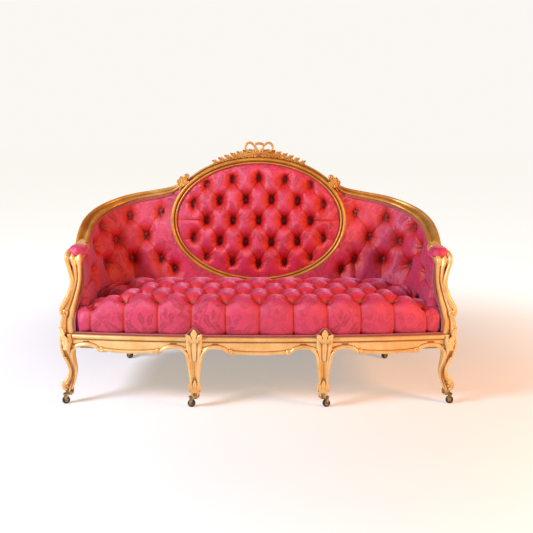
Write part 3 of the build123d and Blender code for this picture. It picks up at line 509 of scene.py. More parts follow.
def finish_mesh(mesh, material, close=False, merge=1e-6):
    """Merges seams, closes open ends where asked, turns faces outwards and shades smooth."""
    bm = bmesh.new()
    bm.from_mesh(mesh)
    bmesh.ops.remove_doubles(bm, verts=bm.verts, dist=merge)
    if close:
        rim = [e for e in bm.edges if e.is_boundary]
        if rim:
            bmesh.ops.holes_fill(bm, edges=rim, sides=0)
    bmesh.ops.recalc_face_normals(bm, faces=bm.faces)
    bm.to_mesh(mesh)
    bm.free()
    mesh.materials.append(material)
    mesh.shade_smooth()
    return mesh


def mark_hollows(mesh):
    """Keeps on each point how far its surface folds inwards there, for the painted shade in the gilding's
    hollows.
    """
    count = len(mesh.vertices)
    place = np.empty(count * 3)
    mesh.vertices.foreach_get("co", place)
    place = place.reshape(-1, 3)
    normal = np.empty(count * 3)
    mesh.vertex_normals.foreach_get("vector", normal)
    normal = normal.reshape(-1, 3)
    pair = np.empty(len(mesh.edges) * 2, int)
    mesh.edges.foreach_get("vertices", pair)
    pair = pair.reshape(-1, 2)
    step = place[pair[:, 1]] - place[pair[:, 0]]
    length = np.linalg.norm(step, axis=1)
    pull = np.zeros((count, 3))
    short = np.full(count, 1.0)
    for end, way in ((0, 1.0), (1, -1.0)):
        np.add.at(pull, pair[:, end], way * step)
        np.minimum.at(short, pair[:, end], length)
    fold = np.clip(np.sum(pull * normal, axis=1) / np.maximum(short, 1e-6), -1.0, 1.0)
    for again in range(2):
        total = fold.copy()
        ends = np.ones(count)
        for end in (0, 1):
            np.add.at(total, pair[:, end], fold[pair[:, 1 - end]])
            np.add.at(ends, pair[:, end], 1.0)
        fold = total / ends
    layer = mesh.attributes.new("hollow", "FLOAT", "POINT")
    layer.data.foreach_set("value", fold)


def piece(name, mesh, replaces=()):
    """An object that rides on the frame and stands for its CAD nodes."""
    made = bpy.data.objects.new(name, mesh)
    bpy.context.scene.collection.objects.link(made)
    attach(made, "frame")
    if replaces:
        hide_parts(*replaces)
    return made


def flipped(points):
    """The mirror image of points on the viewer's left."""
    return points * np.array([-1.0, 1.0, 1.0])


SIDES = (("right", np.array), ("left", flipped))


# Deep buttoning: pits at the buttons, soft valleys and a sharp fold along each pleat
BUTTON_RISE = 0.005  # top of a pit's floor up to the middle of its button


class Tufting:
    """How one pad is drawn in by its buttons and pleats, as depths and reaches in metres."""

    def __init__(self, pit, pit_reach, valley, valley_reach, crease, seed, tall=1.0):
        self.pit = pit
        self.tall = tall
        self.pit_reach = pit_reach
        self.valley = valley
        self.valley_reach = valley_reach
        self.crease = crease
        self.dice = np.random.default_rng(seed)

    def button_depth(self, room):
        """How deep each button sits, where the padding has so much room."""
        full = self.pit + self.valley + self.crease
        return np.minimum(full, room) - BUTTON_RISE


CREASE_REACH = 0.0042
# Painted shade along each pleat's line, as a share of the darkest
CREASE_SHADE = 0.85
BUTTON_FLAT = 0.007
DIMPLE_REACH = 2.3  # in reaches of a pit
WELL_REACH = 0.55  # in reaches of a pit
WELL_POWER = 1.3
VALLEY_REACH = 2.0  # in reaches of a valley
WRINKLE = 0.0017
WRINKLE_REACH = 0.022
BLEND = 4  # buttons whose pits run together at each point


def nearest_few(points, targets, count):
    """Distance from each point to its nearest targets, and those targets' numbers."""
    tree = kdtree.KDTree(len(targets))
    for index, place in enumerate(targets):
        tree.insert(place, index)
    tree.balance()
    found = [tree.find_n(p, count) for p in points]
    far = np.array([[f[2] for f in row] for row in found])
    return far, np.array([[f[1] for f in row] for row in found])


def surface_frame(points):
    """Unit directions along the rows of a grid of points, and its normal."""
    down, along = np.gradient(points, axis=(0, 1))
    return unit(along), unit(np.cross(along, down))


def draw_in(points, normal, along, buttons, pleats, tuft, room):
    """The grid of points drawn in along its normal at buttons and pleats, and how far each is drawn in,
    raised to a dark line along each pleat: the silk's mask of painted shade.

    Buttons are points on the grid. A pleat is a row of points with a depth factor for each.
    Room is the most that the padding has at each point.
    """
    flat = points.reshape(-1, 3)
    side = along.reshape(-1, 3)
    out = normal.reshape(-1, 3)
    r, which = nearest_few(flat, buttons, BLEND)
    lines = np.concatenate([p for p, factor in pleats])
    factors = np.concatenate([factor for p, factor in pleats])
    d, on = nearest_few(flat, lines, 1)
    d, factor = d[:, 0], factors[on[:, 0]]
    away = flat[:, None] - buttons[which]
    level = np.sum(away * side[:, None], axis=-1)
    steep = np.sum(away * np.cross(out, side)[:, None], axis=-1)
    rise = np.sum(away * out[:, None], axis=-1)
    angle = np.arctan2(steep[:, 0], level[:, 0])
    reach = np.maximum(np.sqrt(level**2 + (steep / tuft.tall) ** 2 + rise**2) - BUTTON_FLAT, 0.0)
    dimple = np.clip(1 - reach / (DIMPLE_REACH * tuft.pit_reach), 0.0, 1.0) ** 2
    well = np.exp(-((reach / (WELL_REACH * tuft.pit_reach)) ** WELL_POWER))
    depth = tuft.pit * np.cbrt(np.sum((0.5 * dimple + 0.5 * well) ** 3, axis=1))
    depth += tuft.valley * factor * np.clip(1 - d / (VALLEY_REACH * tuft.valley_reach), 0.0, 1.0) ** 2
    depth += tuft.crease * np.minimum(2.0 * factor, 1.0) * np.exp(-d / CREASE_REACH)
    drawn = np.clip(depth / (tuft.pit + 0.6 * tuft.valley), 0.0, 1.0)
    # A line of painted shade along each pleat, kept in the mask
    line = CREASE_SHADE * np.minimum(1.6 * factor, 1.0) * np.exp(-((d / CREASE_REACH) ** 2))
    drawn = np.maximum(drawn, line)
    phase = tuft.dice.uniform(0, 2 * math.pi, (len(buttons), 3))[which[:, 0]]
    ring = np.exp(-(((r[:, 0] - 0.6 * WRINKLE_REACH) / WRINKLE_REACH) ** 2))
    folds = np.sin(6 * angle + phase[:, 0]) + 0.7 * np.sin(11 * angle + phase[:, 1])
    folds += 0.5 * np.sin(17 * angle + phase[:, 2])
    depth += WRINKLE * ring * folds
    depth = depth * np.minimum(1.0, np.ravel(room) / (tuft.pit + tuft.valley + tuft.crease))
    return (flat - out * depth[:, None]).reshape(points.shape), drawn.reshape(points.shape[:2])


def pleat_line(place, a, b, end_depth, mid_depth, count=40):
    """A pleat from a to b in a pad's own coordinates, deepest at its ends."""
    t = np.linspace(0.0, 1.0, count)
    spot = np.array(a) + t[:, None] * (np.array(b) - np.array(a))
    factor = mid_depth + (end_depth - mid_depth) * (2 * t - 1) ** 2
    return place(spot[:, 0], spot[:, 1]), factor


def free_pleat(place, a, b, start_depth, end_depth, count=40):
    """A pleat from a button to the edge of its pad."""
    t = np.linspace(0.0, 1.0, count)
    spot = np.array(a) + t[:, None] * (np.array(b) - np.array(a))
    return place(spot[:, 0], spot[:, 1]), start_depth + (end_depth - start_depth) * t


def cloth_shell(name, points, uv, rear, material, drawn=None):
    """A closed mesh whose back follows its face: rear is the back, row by row."""
    drawn = np.zeros(points.shape[:2]) if drawn is None else drawn
    rows = len(points)
    loop = np.concatenate([points, rear[::-1], points[:1]])
    round_trip = list(range(rows)) + list(range(rows - 1, -1, -1)) + [0]
    grids = [(loop, uv[round_trip], drawn[round_trip])]
    for end in (0, -1):
        strip = np.stack([points[:, end], rear[:, end]], axis=1)
        grids.append((strip, np.stack([uv[:, end]] * 2, axis=1), np.stack([drawn[:, end]] * 2, axis=1)))
    return finish_mesh(joined(name, grids), material)


def curved_pad(name, points, uv, rear, replaces, material, drawn=None):
    """A padded piece whose back follows its face."""
    mesh = cloth_shell(name, points, uv, rear, material, drawn)
    piece(name, mesh, replaces=replaces)


def stuffed_pad(name, points, uv, depth_dir, replaces, drawn=None):
    """A closed padded piece: the tufted face, a wall round its edge and a flat back."""
    around = ((1, 1), (1, 1), (0, 0))
    rim = np.pad(points, around, mode="edge")
    inner = np.zeros(rim.shape[:2], bool)
    inner[1:-1, 1:-1] = True
    rim[~inner] += np.pad(depth_dir, around, mode="edge")[~inner]
    wide_uv = np.pad(uv, around, mode="edge")
    if drawn is not None:
        drawn = np.pad(drawn, 1, mode="edge")
    mesh = finish_mesh(grid_mesh(name, rim, wide_uv, drawn), SILK, close=True)
    made = piece(name, mesh, replaces=replaces)


BUTTON_R = 0.0095
BUTTON_H = 0.006


def button_set(name, places, normals, depths, replaces):
    """Silk-covered buttons in dark silk, which is painted shade, each a domed disc seated in its pit."""
    bm = bmesh.new()
    for place, normal, depth in zip(places, normals, depths):
        made = bmesh.ops.create_uvsphere(bm, u_segments=14, v_segments=8, radius=BUTTON_R)
        turn = Vector(normal).to_track_quat("Z", "Y").to_matrix().to_4x4()
        flat = Matrix.Diagonal((1.0, 1.0, BUTTON_H / BUTTON_R, 1.0))
        move = Matrix.Translation(Vector(place) - Vector(normal) * depth)
        bmesh.ops.transform(bm, matrix=move @ turn @ flat, verts=made["verts"])
    mesh = bpy.data.meshes.new(name)
    bm.to_mesh(mesh)
    bm.free()
    piece(name, finish_mesh(mesh, BUTTON_CLOTH), replaces=replaces)


# Medallion pad
MED_PITCH = 0.113
MED_ROW_V = (0.182, 0.094, 0.002, -0.094, -0.184)
MED_HALF = 5
MED_SAG = 0.042
MED_FINE = 280
MED_ROOM = 0.018
MED_FIT = 0.996
MED_BACKING = 0.030
RIM_STOP = 0.995  # pleats end just inside the rim


def med_crown(u, v):
    """How far the medallion pad swells forwards."""
    r2 = (u / MED_A) ** 2 + (v / MED_B) ** 2
    return MED_RIM + (MED_CROWN - MED_RIM) * (1 - np.clip(r2, 0, 1) ** 2)


def med_surface(u, v):
    """The medallion pad before it is buttoned."""
    return on_medallion(u, v, med_crown(u, v))


def med_spot(j, k):
    """Row j and half column k of the medallion's buttons."""
    v = MED_ROW_V[j] * (1 - MED_SAG / MED_ROW_V[0] * (k / MED_HALF) ** 2)
    return k * MED_PITCH / 2, v


def med_rim_spot(u, v):
    """The point of the rim straight out from a button."""
    grow = RIM_STOP / math.hypot(u / MED_A, v / MED_B)
    return u * grow, v * grow


def med_disc(count):
    """Places over the medallion's opening as a square grid."""
    side = np.linspace(-1.0, 1.0, count)
    p, q = np.meshgrid(side, side[::-1])
    return MED_FIT * MED_A * p * np.sqrt(1 - q * q / 2), MED_FIT * MED_B * q * np.sqrt(1 - p * p / 2)


def medallion_pad():
    spots = {}
    for j in range(len(MED_ROW_V)):
        for k in range(-MED_HALF, MED_HALF + 1):
            if (j + k) % 2 == 0:
                spots[(j, k)] = med_spot(j, k)
    pleats = []
    for (j, k), a in spots.items():
        for step in (-1, 1):
            b = spots.get((j + 1, k + step))
            if b:
                pleats.append(pleat_line(med_surface, a, b, 1.0, 0.55))
        if j in (0, len(MED_ROW_V) - 1) or abs(k) >= MED_HALF - 1:
            pleats.append(free_pleat(med_surface, a, med_rim_spot(*a), 1.0, 0.35))
    u, v = med_disc(MED_FINE)
    points = med_surface(u, v)
    along, normal = surface_frame(points)
    normal = unit(normal + 2.0 * MED_OUT)
    buttons = np.array([med_surface(*s) for s in spots.values()])
    tuft = Tufting(0.046, 0.028, 0.008, 0.020, 0.004, seed=11, tall=1.3)
    shaped, drawn = draw_in(points, normal, along, buttons, pleats, tuft, med_crown(u, v) + MED_ROOM)
    uv = np.stack([u, v], axis=-1)
    back = np.broadcast_to(-MED_BACKING * MED_OUT, points.shape)
    names = ("medallion_pad",)
    stuffed_pad("medallion_cushion", shaped, uv, back, names, drawn)
    out = np.broadcast_to(MED_OUT, buttons.shape)
    spot = np.array(list(spots.values()))
    depth = tuft.button_depth(med_crown(spot[:, 0], spot[:, 1]) + MED_ROOM)
    button_set("medallion_button_set", buttons, out, depth, ("medallion_buttons",))


# Wing pads
WING_PAD_START = 0.060
WING_S = (0.435, 0.510, 0.590, 0.672, 0.755, 0.850, 0.945)
WING_ROWS = (
    (0.699, 0.690, 0.682, 0.668, 0.650, 0.636, 0.610),
    (0.600, 0.596, 0.590, 0.582, 0.579, 0.575, 0.560),
    (0.494, 0.494, 0.493, 0.491, 0.486, 0.480, 0.474),
)
WING_LOW_SPOT = (0.374, 0.447)  # a button beside the foot of the ring
WING_LOW = 0.330
WING_FINE = (140, 262)
WING_BACK = 0.006  # the pad's back, inside the outside covering
WING_COVER = 0.012  # padding left behind the deepest pit
RING_LAP = 0.004  # how far the cloth runs on behind the ring


def wing_room(s, z):
    """How deep the right wing's pad may be drawn in."""
    return pad_u(s, z) - outer(s, z) - SHELL - WING_COVER


def wing_surface(s, z):
    """The right wing's pad before it is buttoned."""
    return wall(s, pad_u(s, z), z)


def ring_edge(z, inside):
    """Where the medallion's ring cuts the wing at height z, and no further in than inside."""
    v = (z - MED_Z) / math.cos(MED_TILT) / (MED_B + RING_W - RING_LAP)
    x = (MED_A + RING_W - RING_LAP) * np.sqrt(np.clip(1 - v * v, 0.0, 1.0))
    return np.maximum(x, inside)


def wing_ceiling(s):
    """Top of the wing's cloth at s."""
    return ceiling(np.maximum(s, RAIL_START)) - PAD_GAP


def wing_end(z):
    """How far the wing's cloth runs on towards the arm support at height z."""
    return ARM_START + straight_between(z, [(RAIL_TOP, 0.122), (0.420, 0.108), (0.560, 0.094)])


def wing_grid(rows, cols, top_of, inside=WING_PAD_START, low=WING_LOW):
    """Places s and z over a wing, from the ring to the arm and from the rail to the seat."""
    t = np.linspace(0.0, 1.0, rows)[:, None]
    c = np.linspace(0.0, 1.0, cols)[None, :]
    z = np.full((rows, cols), 0.5)
    for again in range(6):
        start = ring_edge(z, inside)
        s = start + (wing_end(z) - start) * c
        z = top_of(s) + (low - top_of(s)) * t
    return s, z


def wing_pads():
    spots = {}
    for j, row in enumerate(WING_ROWS):
        for k, s in enumerate(WING_S):
            if (j + k) % 2 == 0 and (j, k) != (0, len(WING_S) - 1):
                spots[(j, k)] = (s, row[k])
    spots[(len(WING_ROWS), -1)] = WING_LOW_SPOT
    pleats = []
    for (j, k), a in spots.items():
        for step in (-1, 1):
            b = spots.get((j + 1, k + step))
            if b:
                pleats.append(pleat_line(wing_surface, a, b, 1.0, 0.55))
        if j == 0:
            pleats.append(free_pleat(wing_surface, a, (a[0], ceiling(a[0]) - 0.004), 1.0, 0.3))
        if j >= len(WING_ROWS) - 1:
            pleats.append(free_pleat(wing_surface, a, (a[0], WING_LOW), 1.0, 0.8))
    last = spots[(2, len(WING_S) - 1)]
    pleats.append(free_pleat(wing_surface, last, (ARM_START + 0.095, last[1] - 0.02), 1.0, 0.3))
    s, z = wing_grid(*WING_FINE, wing_ceiling)
    points = wing_surface(s, z)
    along, normal = surface_frame(points)
    normal = normal * np.sign(np.sum(normal * wall_inward(s), axis=-1, keepdims=True))
    buttons = np.array([wing_surface(*spot) for spot in spots.values()])
    tuft = Tufting(0.042, 0.030, 0.008, 0.022, 0.004, seed=23, tall=1.3)
    shaped, drawn = draw_in(points, normal, along, buttons, pleats, tuft, wing_room(s, z))
    uv = np.stack([s, z], axis=-1)
    rear = wall(s, outer(s, z) + SHELL + WING_BACK, z)
    for side, turn in SIDES:
        name = "wing_cushion_" + side
        nodes = ("wing_pad_" + side,)
        curved_pad(name, turn(shaped), uv, turn(rear), nodes, SILK, drawn)
    spot = np.array(list(spots.values()))
    out = wall_inward(spot[:, 0])
    places = np.concatenate([buttons, flipped(buttons)])
    ways = np.concatenate([out, flipped(out)])
    depth = tuft.button_depth(wing_room(spot[:, 0], spot[:, 1]))
    button_set("wing_button_set", places, ways, np.tile(depth, 2), ("wing_buttons",))


# Seat pad: a plan between the front line, the arms and the back, with a plump rolled front
SEAT_TOP = 0.437
SEAT_HEM = 0.287
SEAT_CORNER_X = 0.708
SEAT_REAR_Z = 0.404
SEAT_FALL = 0.150
SEAT_END = 0.230
SEAT_END_DROP = 0.068
SEAT_END_RUN = 0.420
SEAT_PITCH = 0.0642
SEAT_HALF = 10
SEAT_FIRST_ROW = 0.034  # behind the front line
SEAT_ROW = 0.100
SEAT_ROWS = 4
SEAT_EDGE = 0.045  # kept free of buttons along the back
SEAT_FINE = (64, 120, 380)
CORNER_MID = BACK_RUN + ARC_LEN / 2
SEAT_GAP = 0.003
SEAT_MEETS_Z = 0.40  # where its edge lies against the wings
SEAT_UNDER = 0.02
SEAT_TUCK = (0.0, 0.015, -0.002)  # from the hem in under the seat
SEAT_ROOM = 0.080
ROLL_BACK = 0.046
ROLL_END = 0.060
# The roll's section: forwards of the front line, and up as a share of the seat's height
FRONT_ROLL = (
    (0.004, 0.00),
    (0.012, 0.10),
    (0.0165, 0.28),
    (0.0165, 0.48),
    (0.011, 0.68),
    (-0.003, 0.86),
    (-0.022, 0.955),
    (-ROLL_BACK, 1.00),
)


def seat_limit(s):
    """The seat's edge in plan where it meets the wing at s."""
    return wall(s, pad_u(s, SEAT_MEETS_Z) + SEAT_GAP, 0.0)[..., :2]


LIMIT = seat_limit(np.linspace(0.0, ARM_START, 160))
SEAT_SIDE = np.concatenate(
    [
        [(SEAT_CORNER_X, float(front_y(SEAT_CORNER_X, -ROLL_BACK))), (0.682, FRONT_Y + 0.085)],
        seat_limit(np.linspace(ARM_START + 0.020, CORNER_MID, 40)),
    ]
)


def along_line(line, t):
    """Points at shares t of the length of a line in plan."""
    place = run_along(line)
    place = place / place[-1]
    return np.stack([np.interp(t, place, line[:, 0]), np.interp(t, place, line[:, 1])], axis=-1)


def seat_plan(a, b):
    """The seat's top in plan, a across from minus one to one and b back from zero to one."""
    x = a * SEAT_CORNER_X
    front = np.stack([x, front_y(x, -ROLL_BACK)], axis=-1)
    mirror = np.stack([np.where(a < 0, -1.0, 1.0), np.ones_like(a)], axis=-1)
    rear = seat_limit(np.abs(a) * CORNER_MID) * mirror
    right = along_line(SEAT_SIDE, b)
    left = right * np.array([-1.0, 1.0])
    p = ((a + 1) / 2)[..., None]
    q = b[..., None]
    corner_f = SEAT_SIDE[0]
    corner_r = SEAT_SIDE[-1]
    flip = np.array([-1.0, 1.0])
    lines = (1 - q) * front + q * rear + (1 - p) * left + p * right
    low = (1 - q) * ((1 - p) * corner_f * flip + p * corner_f)
    high = q * ((1 - p) * corner_r * flip + p * corner_r)
    return lines - low - high


def seat_height(x, y):
    """Height of the seat's top before it is buttoned."""
    to_rear = np.interp(np.abs(x), LIMIT[:, 0], LIMIT[:, 1]) - y
    fall = np.clip(1 - to_rear / SEAT_FALL, 0.0, 1.0)
    to_side = np.interp(y, SEAT_SIDE[:, 1], SEAT_SIDE[:, 0]) - np.abs(x)
    end = np.clip(1 - to_side / SEAT_END, 0.0, 1.0)
    drop = SEAT_END_DROP * np.clip(1 - (y - FRONT_Y) / SEAT_END_RUN, 0.25, 1.0)
    return SEAT_TOP - (SEAT_TOP - SEAT_REAR_Z) * fall**2 - drop * end**2


def seat_surface(x, y):
    return stack(x, y, seat_height(x, y))


def seat_roll(x, forward, share):
    """The rolled front at x, turned in at its ends."""
    x, forward, share = np.broadcast_arrays(np.asarray(x, float), forward, share)
    end = np.clip((np.abs(x) - SEAT_CORNER_X + ROLL_END) / ROLL_END, 0.0, 1.0)
    turned = (ROLL_BACK + forward) * 0.8 * (1 - np.sqrt(1 - 0.97 * end**2))
    top = seat_height(x, front_y(x, -ROLL_BACK))
    return stack(x, front_y(x, forward) + turned, SEAT_HEM + share * (top - SEAT_HEM))


def seat_row_y(x, j):
    """Row j of the seat's buttons at x, closer together where the seat is short."""
    rear = np.interp(abs(x), LIMIT[:, 0], LIMIT[:, 1])
    first = float(front_y(x, -SEAT_FIRST_ROW))
    return first + j * min(SEAT_ROW, (rear - SEAT_EDGE - first) / SEAT_ROWS)


def front_pleat(spot, roll):
    """A pleat from a button of the first row over the roll and down to the hem."""
    x, y = spot
    back = np.linspace(y, float(front_y(x, -ROLL_BACK)), 24)
    top = seat_surface(np.full(24, x), back)
    drift = x * (1 + 0.008 * (1 - roll[:, 1]))
    down = seat_roll(drift, roll[:, 0], roll[:, 1])[::-1]
    line = np.concatenate([top, down])
    return line, 0.55 + 0.45 * np.linspace(1.0, 0.0, len(line)) ** 2.5


def seat_pad():
    front_rows, top_rows, cols = SEAT_FINE
    a = np.broadcast_to(np.linspace(-1.0, 1.0, cols), (top_rows, cols))
    b = np.broadcast_to(np.linspace(0.0, 1.0, top_rows)[:, None], (top_rows, cols))
    plan = seat_plan(a, b)
    top = seat_surface(plan[..., 0], plan[..., 1])
    height = SEAT_TOP - SEAT_HEM
    roll = curve([(forward, share * height) for forward, share in FRONT_ROLL], front_rows + 1)[0]
    roll = roll / np.array([1.0, height])
    face = seat_roll(top[0][None, :, 0], roll[:-1, :1], roll[:-1, 1:])
    points = np.concatenate([face, top])
    along, normal = surface_frame(points)
    if normal[-top_rows // 2, cols // 2, 2] < 0:
        normal = -normal
    spots = {}
    for k in range(-SEAT_HALF, SEAT_HALF + 1):
        for j in range(SEAT_ROWS):
            if (j + k) % 2 == 0:
                spots[(j, k)] = (k * SEAT_PITCH, seat_row_y(k * SEAT_PITCH, j))
    pleats = []
    for (j, k), spot in spots.items():
        for step in (-1, 1):
            other = spots.get((j + 1, k + step))
            if other:
                pleats.append(pleat_line(seat_surface, spot, other, 1.0, 0.6))
        if j == 0:
            pleats.append(front_pleat(spot, roll))
        if j >= SEAT_ROWS - 2 and (j == SEAT_ROWS - 1 or abs(k) == SEAT_HALF):
            rear = (spot[0], np.interp(abs(spot[0]), LIMIT[:, 0], LIMIT[:, 1]) - 0.002)
            pleats.append(free_pleat(seat_surface, spot, rear, 1.0, 0.5))
    buttons = np.array([seat_surface(*spot) for spot in spots.values()])
    tuft = Tufting(0.042, 0.030, 0.015, 0.026, 0.004, seed=37)
    room = np.full(points.shape[:2], SEAT_ROOM)
    shaped, drawn = draw_in(points, normal, along, buttons, pleats, tuft, room)
    step = np.linalg.norm(np.diff(points, axis=0), axis=-1)
    run = np.concatenate([np.zeros((1, cols)), np.cumsum(step, axis=0)])
    uv = np.stack([points[..., 0], run], axis=-1)
    inset = np.zeros_like(points)
    inset[..., 2] = -SEAT_UNDER
    inset[0] = SEAT_TUCK
    stuffed_pad("seat_cushion", shaped, uv, inset, ("seat_pad",), drawn)
    up = np.broadcast_to(np.array([0.0, 0.0, 1.0]), buttons.shape)
    depth = tuft.button_depth(np.full(len(buttons), SEAT_ROOM))
    button_set("seat_button_set", buttons, up, depth, ("seat_buttons",))


medallion_pad()
wing_pads()
seat_pad()


# Gilt carving: closed sections carried along paths
def section(points, rounds=2):
    """A closed section through points, with its corners cut round."""
    ring = np.array(points, float)
    for cut in range(rounds):
        after = np.roll(ring, -1, axis=0)
        ring = np.stack([0.75 * ring + 0.25 * after, 0.25 * ring + 0.75 * after], axis=1).reshape(-1, 2)
    return ring


def oval_section(count=14):
    """A round section of unit radius."""
    a = np.linspace(0.0, 2 * math.pi, count, endpoint=False)
    return np.stack([np.cos(a), np.sin(a)], axis=-1)


def path_axes(line, side):
    """Directions across a path, nearest to side, and square to it."""
    ahead = unit(np.gradient(line, axis=0))
    side = np.broadcast_to(np.array(side, float), line.shape)
    across = unit(side - np.sum(side * ahead, axis=-1, keepdims=True) * ahead)
    return across, np.cross(ahead, across)


def sweep(line, across, out, shape, closed=False):
    """Points of a closed section along a path. The shape may differ at each place of the path."""
    shape = np.broadcast_to(shape, (len(line),) + np.shape(shape)[-2:])
    points = line[:, None] + across[:, None] * shape[..., :1] + out[:, None] * shape[..., 1:]
    points = np.concatenate([points, points[:, :1]], axis=1)
    return np.concatenate([points, points[:1]]) if closed else points


def tube(points, radius, count=60, side=(0.0, 1.0, 0.0), flat=1.0, around=12):
    """A round or flattened strand along a smooth line, its radius given from end to end."""
    line, t = curve(points, count)
    across, out = path_axes(line, side)
    r = smooth_between(t, np.stack([np.linspace(0.0, 1.0, len(radius)), radius], axis=1))[:, None, None]
    return sweep(line, across, out, oval_section(around) * np.array([flat, 1.0]) * r)


def spiral(centre, right, up, start, turns, radius, end, thick, count=70):
    """A volute: a strand that winds in about a centre, in the plane of right and up."""
    a = np.linspace(0.0, 1.0, count)
    angle = start + turns * 2 * math.pi * a
    r = radius * (end / radius) ** a
    right, up = np.array(right, float), np.array(up, float)
    line = np.array(centre) + r[:, None] * (np.cos(angle)[:, None] * right + np.sin(angle)[:, None] * up)
    across, out = path_axes(line, np.cross(right, up))
    size = thick * (1 - 0.55 * a)[:, None, None]
    return sweep(line, across, out, oval_section(12) * np.array([1.15, 1.0]) * size)


LEAF_ARC = 1.35


def leaf(base, along, face, length, width, curl, lobes=3, thick=0.006, count=34):
    """A carved leaf: lobed edges, a sunk middle rib and a tip that curls towards face."""
    t = np.linspace(0.0, 1.0, count)
    along = unit(np.array(along, float))
    face = np.array(face, float)
    face = unit(face - np.dot(face, along) * along)
    side = np.cross(along, face)
    bend = curl * t**2.2
    reach = length * np.sin(t * LEAF_ARC) / math.sin(LEAF_ARC)
    line = np.array(base) + reach[:, None] * along + bend[:, None] * face
    half = width / 2 * np.sin(math.pi * (0.12 + 0.88 * t) ** 0.9) ** 0.7
    half = half * (1 + 0.16 * np.cos(2 * math.pi * lobes * t)) + 0.0006
    c = np.linspace(-1.0, 1.0, 13)
    ridge = np.sqrt(1 - 0.92 * c**2) - 0.55 * np.exp(-((c / 0.14) ** 2)) + 0.16 * np.cos(3 * math.pi * c)
    top = np.stack(np.broadcast_arrays(c, ridge), axis=-1)
    under = np.stack([c[::-1][1:-1], -0.35 * np.ones(11)], axis=-1)
    ring = np.concatenate([top, under])
    rise = thick * (1 - 0.75 * t)
    shape = ring[None] * np.stack([half, rise], axis=-1)[:, None]
    out = unit(face - 2.0 * (curl / length * t)[:, None] * along)
    return sweep(line, np.broadcast_to(side, line.shape), out, shape)


def carved(name, grids, replaces=(), material=GILT):
    """One carved piece made of several closed surfaces."""
    mesh = finish_mesh(joined(name, [(grid,) for grid in grids]), material, close=True)
    mark_hollows(mesh)
    piece(name, mesh, replaces=replaces)


def carved_pair(name, grids, nodes=(), material=GILT):
    """A carved piece on the right and its mirror image on the left."""
    for side, turn in SIDES:
        carved(f"{name}_{side}", [turn(g) for g in grids], [f"{n}_{side}" for n in nodes], material)


# Medallion ring: an inner bead, a cove and a broad roll, and a second band over its top
RING_SECTION = section(
    [
        (-0.0010, -0.038),
        (-0.0010, 0.004),
        (0.0000, 0.0105),
        (0.0030, 0.0140),
        (0.0070, 0.0125),
        (0.0085, 0.0075),
        (0.0105, 0.0080),
        (0.0130, 0.0165),
        (0.0180, 0.0200),
        (0.0235, 0.0175),
        (0.0262, 0.0105),
        (0.0280, 0.0085),
        (0.0285, 0.0000),
        (0.0280, -0.038),
    ]
)
BAND_SECTION = section(
    [
        (0.026, -0.020),
        (0.026, 0.004),
        (0.030, 0.006),
        (0.033, 0.0115),
        (0.0375, 0.0085),
        (0.039, 0.0),
        (0.038, -0.020),
    ]
)
BAND_END = 0.47  # angle from the horizontal where the upper band starts


def ring_sweep(angle, shape, closed):
    u, v = MED_A * np.cos(angle), MED_B * np.sin(angle)
    line = on_medallion(u, v, 0.0)
    away = unit(np.stack([np.cos(angle) / MED_A, np.sin(angle) / MED_B], axis=-1))
    across = away[:, :1] * np.array([1.0, 0.0, 0.0]) + away[:, 1:] * MED_UP
    return sweep(line, across, np.broadcast_to(MED_OUT, line.shape), shape, closed)


def medallion_ring():
    whole = np.linspace(0.0, 2 * math.pi, 240, endpoint=False)
    arch = np.linspace(BAND_END, math.pi - BAND_END, 130)
    grids = [ring_sweep(whole, RING_SECTION, True), ring_sweep(arch, BAND_SECTION, False)]
    carved("medallion_ring", grids, ["medallion_frame"], SHADED_GILT)


# Wing rails: an outer bead, a wide cove and an inner bead on the face that leans to the room
RAIL_SECTION = section(
    [
        (0.00, -1.00),
        (0.00, -0.16),
        (0.05, -0.02),
        (0.16, 0.04),
        (0.28, -0.01),
        (0.33, -0.13),
        (0.36, -0.30),
        (0.46, -0.44),
        (0.60, -0.52),
        (0.72, -0.52),
        (0.78, -0.45),
        (0.91, -0.45),
        (1.02, -0.58),
        (1.05, -0.74),
        (0.97, -0.88),
        (0.86, -0.93),
        (0.92, -0.99),
        (0.80, -1.05),
    ]
)
RAIL_INSIDE = 0.332  # the rail runs on behind the ring


def wing_rails():
    s = np.linspace(RAIL_INSIDE, ARM_START + 0.012, 150)
    line = wall(s, 0.0, rail_top(s))
    up = np.broadcast_to(np.array([0.0, 0.0, 1.0]), line.shape)
    size = np.stack([rail_w(s), rail_h(s)], axis=-1)[:, None]
    grids = [sweep(line, wall_inward(s), up, RAIL_SECTION[None] * size)]
    carved_pair("wing_moulding", grids, ("wing_rail",), SHADED_GILT)


